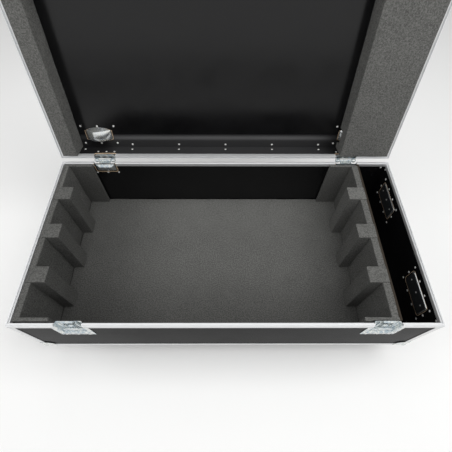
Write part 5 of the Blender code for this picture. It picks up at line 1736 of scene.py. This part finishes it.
class FLIGHTCASE_OT_stage(Maker, bpy.types.Operator):
    """Sets the floor, the soft lights, the white surroundings that metal mirrors, and the camera"""

    bl_idname = "flightcase.stage"
    bl_label = "Stage"

    def make(self):
        self.camera()
        scene = bpy.context.scene
        scene.view_settings.view_transform = "Standard"
        floor_mesh = bpy.data.meshes.new("studio_floor")
        square = ((-1, -1), (1, -1), (1, 1), (-1, 1))
        points = [(FLOOR_REACH * x, FLOOR_REACH * y, GROUND) for x, y in square]
        floor_mesh.from_pydata(points, [], [(0, 1, 2, 3)])
        floor_mesh.materials.append(material("floor"))
        floor = bpy.data.objects.new("studio_floor", floor_mesh)
        scene.collection.objects.link(floor)
        self.world(scene)
        for name, place, target, size, power in (
            ("soft_box_over", (0.0, -0.2, 3.2), (0, 0, 0.1), 2.2, 30),
            ("soft_box_front", (0.0, -2.4, 2.6), (0, 0, 0.1), 2.0, 15),
            ("soft_box_left", (-2.4, -0.4, 2.2), (0, 0, 0.1), 1.8, 21),
            ("soft_box_right", (1.6, -0.2, 2.9), (0, 0, 0.1), 1.6, 38),
            ("soft_box_rear", (0.0, 1.8, 2.8), (0, 0, 0.1), 1.8, 6),
        ):
            light = bpy.data.lights.new(name, "AREA")
            light.shape = "SQUARE"
            light.size = size
            light.energy = power
            lamp = bpy.data.objects.new(name, light)
            lamp.location = place
            lamp.visible_glossy = False
            lamp.rotation_euler = (Vector(target) - Vector(place)).to_track_quat("-Z", "Y").to_euler()
            scene.collection.objects.link(lamp)

    def world(self, scene):
        """White all round: full strength for the camera and in reflections, softer as light."""
        world = bpy.data.worlds.new("white_studio")
        world.use_nodes = True
        tree = world.node_tree
        tree.nodes.clear()
        strength = fitted(tree, seen_directly(tree, "Is Transmission Ray"), 0, 1, 0.2, 1.0)
        background = add_node(tree, "ShaderNodeBackground", {"Color": (1, 1, 1, 1), "Strength": strength})
        output = add_node(tree, "ShaderNodeOutputWorld")
        tree.links.new(background.outputs["Background"], output.inputs["Surface"])
        scene.world = world

    def camera(self):
        """The photograph's view, solved from the rim, the ribs, the divider and the lid's corners."""
        focal_pixels, picture, axis_drop = 322.32, 452, 6.14
        yaw, pitch, roll = radians(0.55), radians(59.06), radians(0.50)
        ahead = np.array([sin(yaw) * cos(pitch), cos(yaw) * cos(pitch), -sin(pitch)])
        right = np.array([cos(yaw), -sin(yaw), 0.0])
        up = np.cross(right, ahead)
        across = cos(roll) * right + sin(roll) * up
        upward = cos(roll) * up - sin(roll) * right
        data = bpy.data.cameras.new("photo_view")
        data.sensor_width = 36
        data.lens = focal_pixels / picture * data.sensor_width
        data.shift_y = axis_drop / picture
        data.clip_start = 0.05
        camera = bpy.data.objects.new("photo_view", data)
        place = (-0.00404, -HALF_WIDTH - 0.23064, RIM + 0.88372)
        turn = Matrix(np.column_stack([across, upward, -ahead])).to_4x4()
        camera.matrix_world = Matrix.Translation(place) @ turn
        bpy.context.scene.collection.objects.link(camera)
        bpy.context.scene.camera = camera


OPERATORS = (
    FLIGHTCASE_OT_stage,
    FLIGHTCASE_OT_panels,
    FLIGHTCASE_OT_rims,
    FLIGHTCASE_OT_edging,
    FLIGHTCASE_OT_foam,
    FLIGHTCASE_OT_hinges,
    FLIGHTCASE_OT_latches,
    FLIGHTCASE_OT_handles,
    FLIGHTCASE_OT_cups,
    FLIGHTCASE_OT_castors,
    FLIGHTCASE_OT_rivets,
    FLIGHTCASE_OT_details,
)


class FLIGHTCASE_PT_panel(bpy.types.Panel):
    """Lists the steps that dress the flight case"""

    bl_idname = "FLIGHTCASE_PT_panel"
    bl_label = "Flight Case"
    bl_space_type = "VIEW_3D"
    bl_region_type = "UI"
    bl_category = "Flight Case"

    def draw(self, context):
        for operator in OPERATORS:
            self.layout.operator(operator.bl_idname)
        for group in (context.scene.flight_case_sizes, context.scene.flight_case_colours):
            for name in group.__annotations__:
                self.layout.prop(group, name)


CLASSES = (FLIGHTCASE_PG_sizes, FLIGHTCASE_PG_colours, *OPERATORS, FLIGHTCASE_PT_panel)


def register():
    for made in CLASSES:
        bpy.utils.register_class(made)
    bpy.types.Scene.flight_case_sizes = bpy.props.PointerProperty(type=FLIGHTCASE_PG_sizes)
    bpy.types.Scene.flight_case_colours = bpy.props.PointerProperty(type=FLIGHTCASE_PG_colours)


def unregister():
    del bpy.types.Scene.flight_case_colours
    del bpy.types.Scene.flight_case_sizes
    for made in reversed(CLASSES):
        bpy.utils.unregister_class(made)


def main():
    register()
    for operator in OPERATORS:
        group, name = operator.bl_idname.split(".")
        getattr(getattr(bpy.ops, group), name)()


if __name__ == "__main__":
    main()
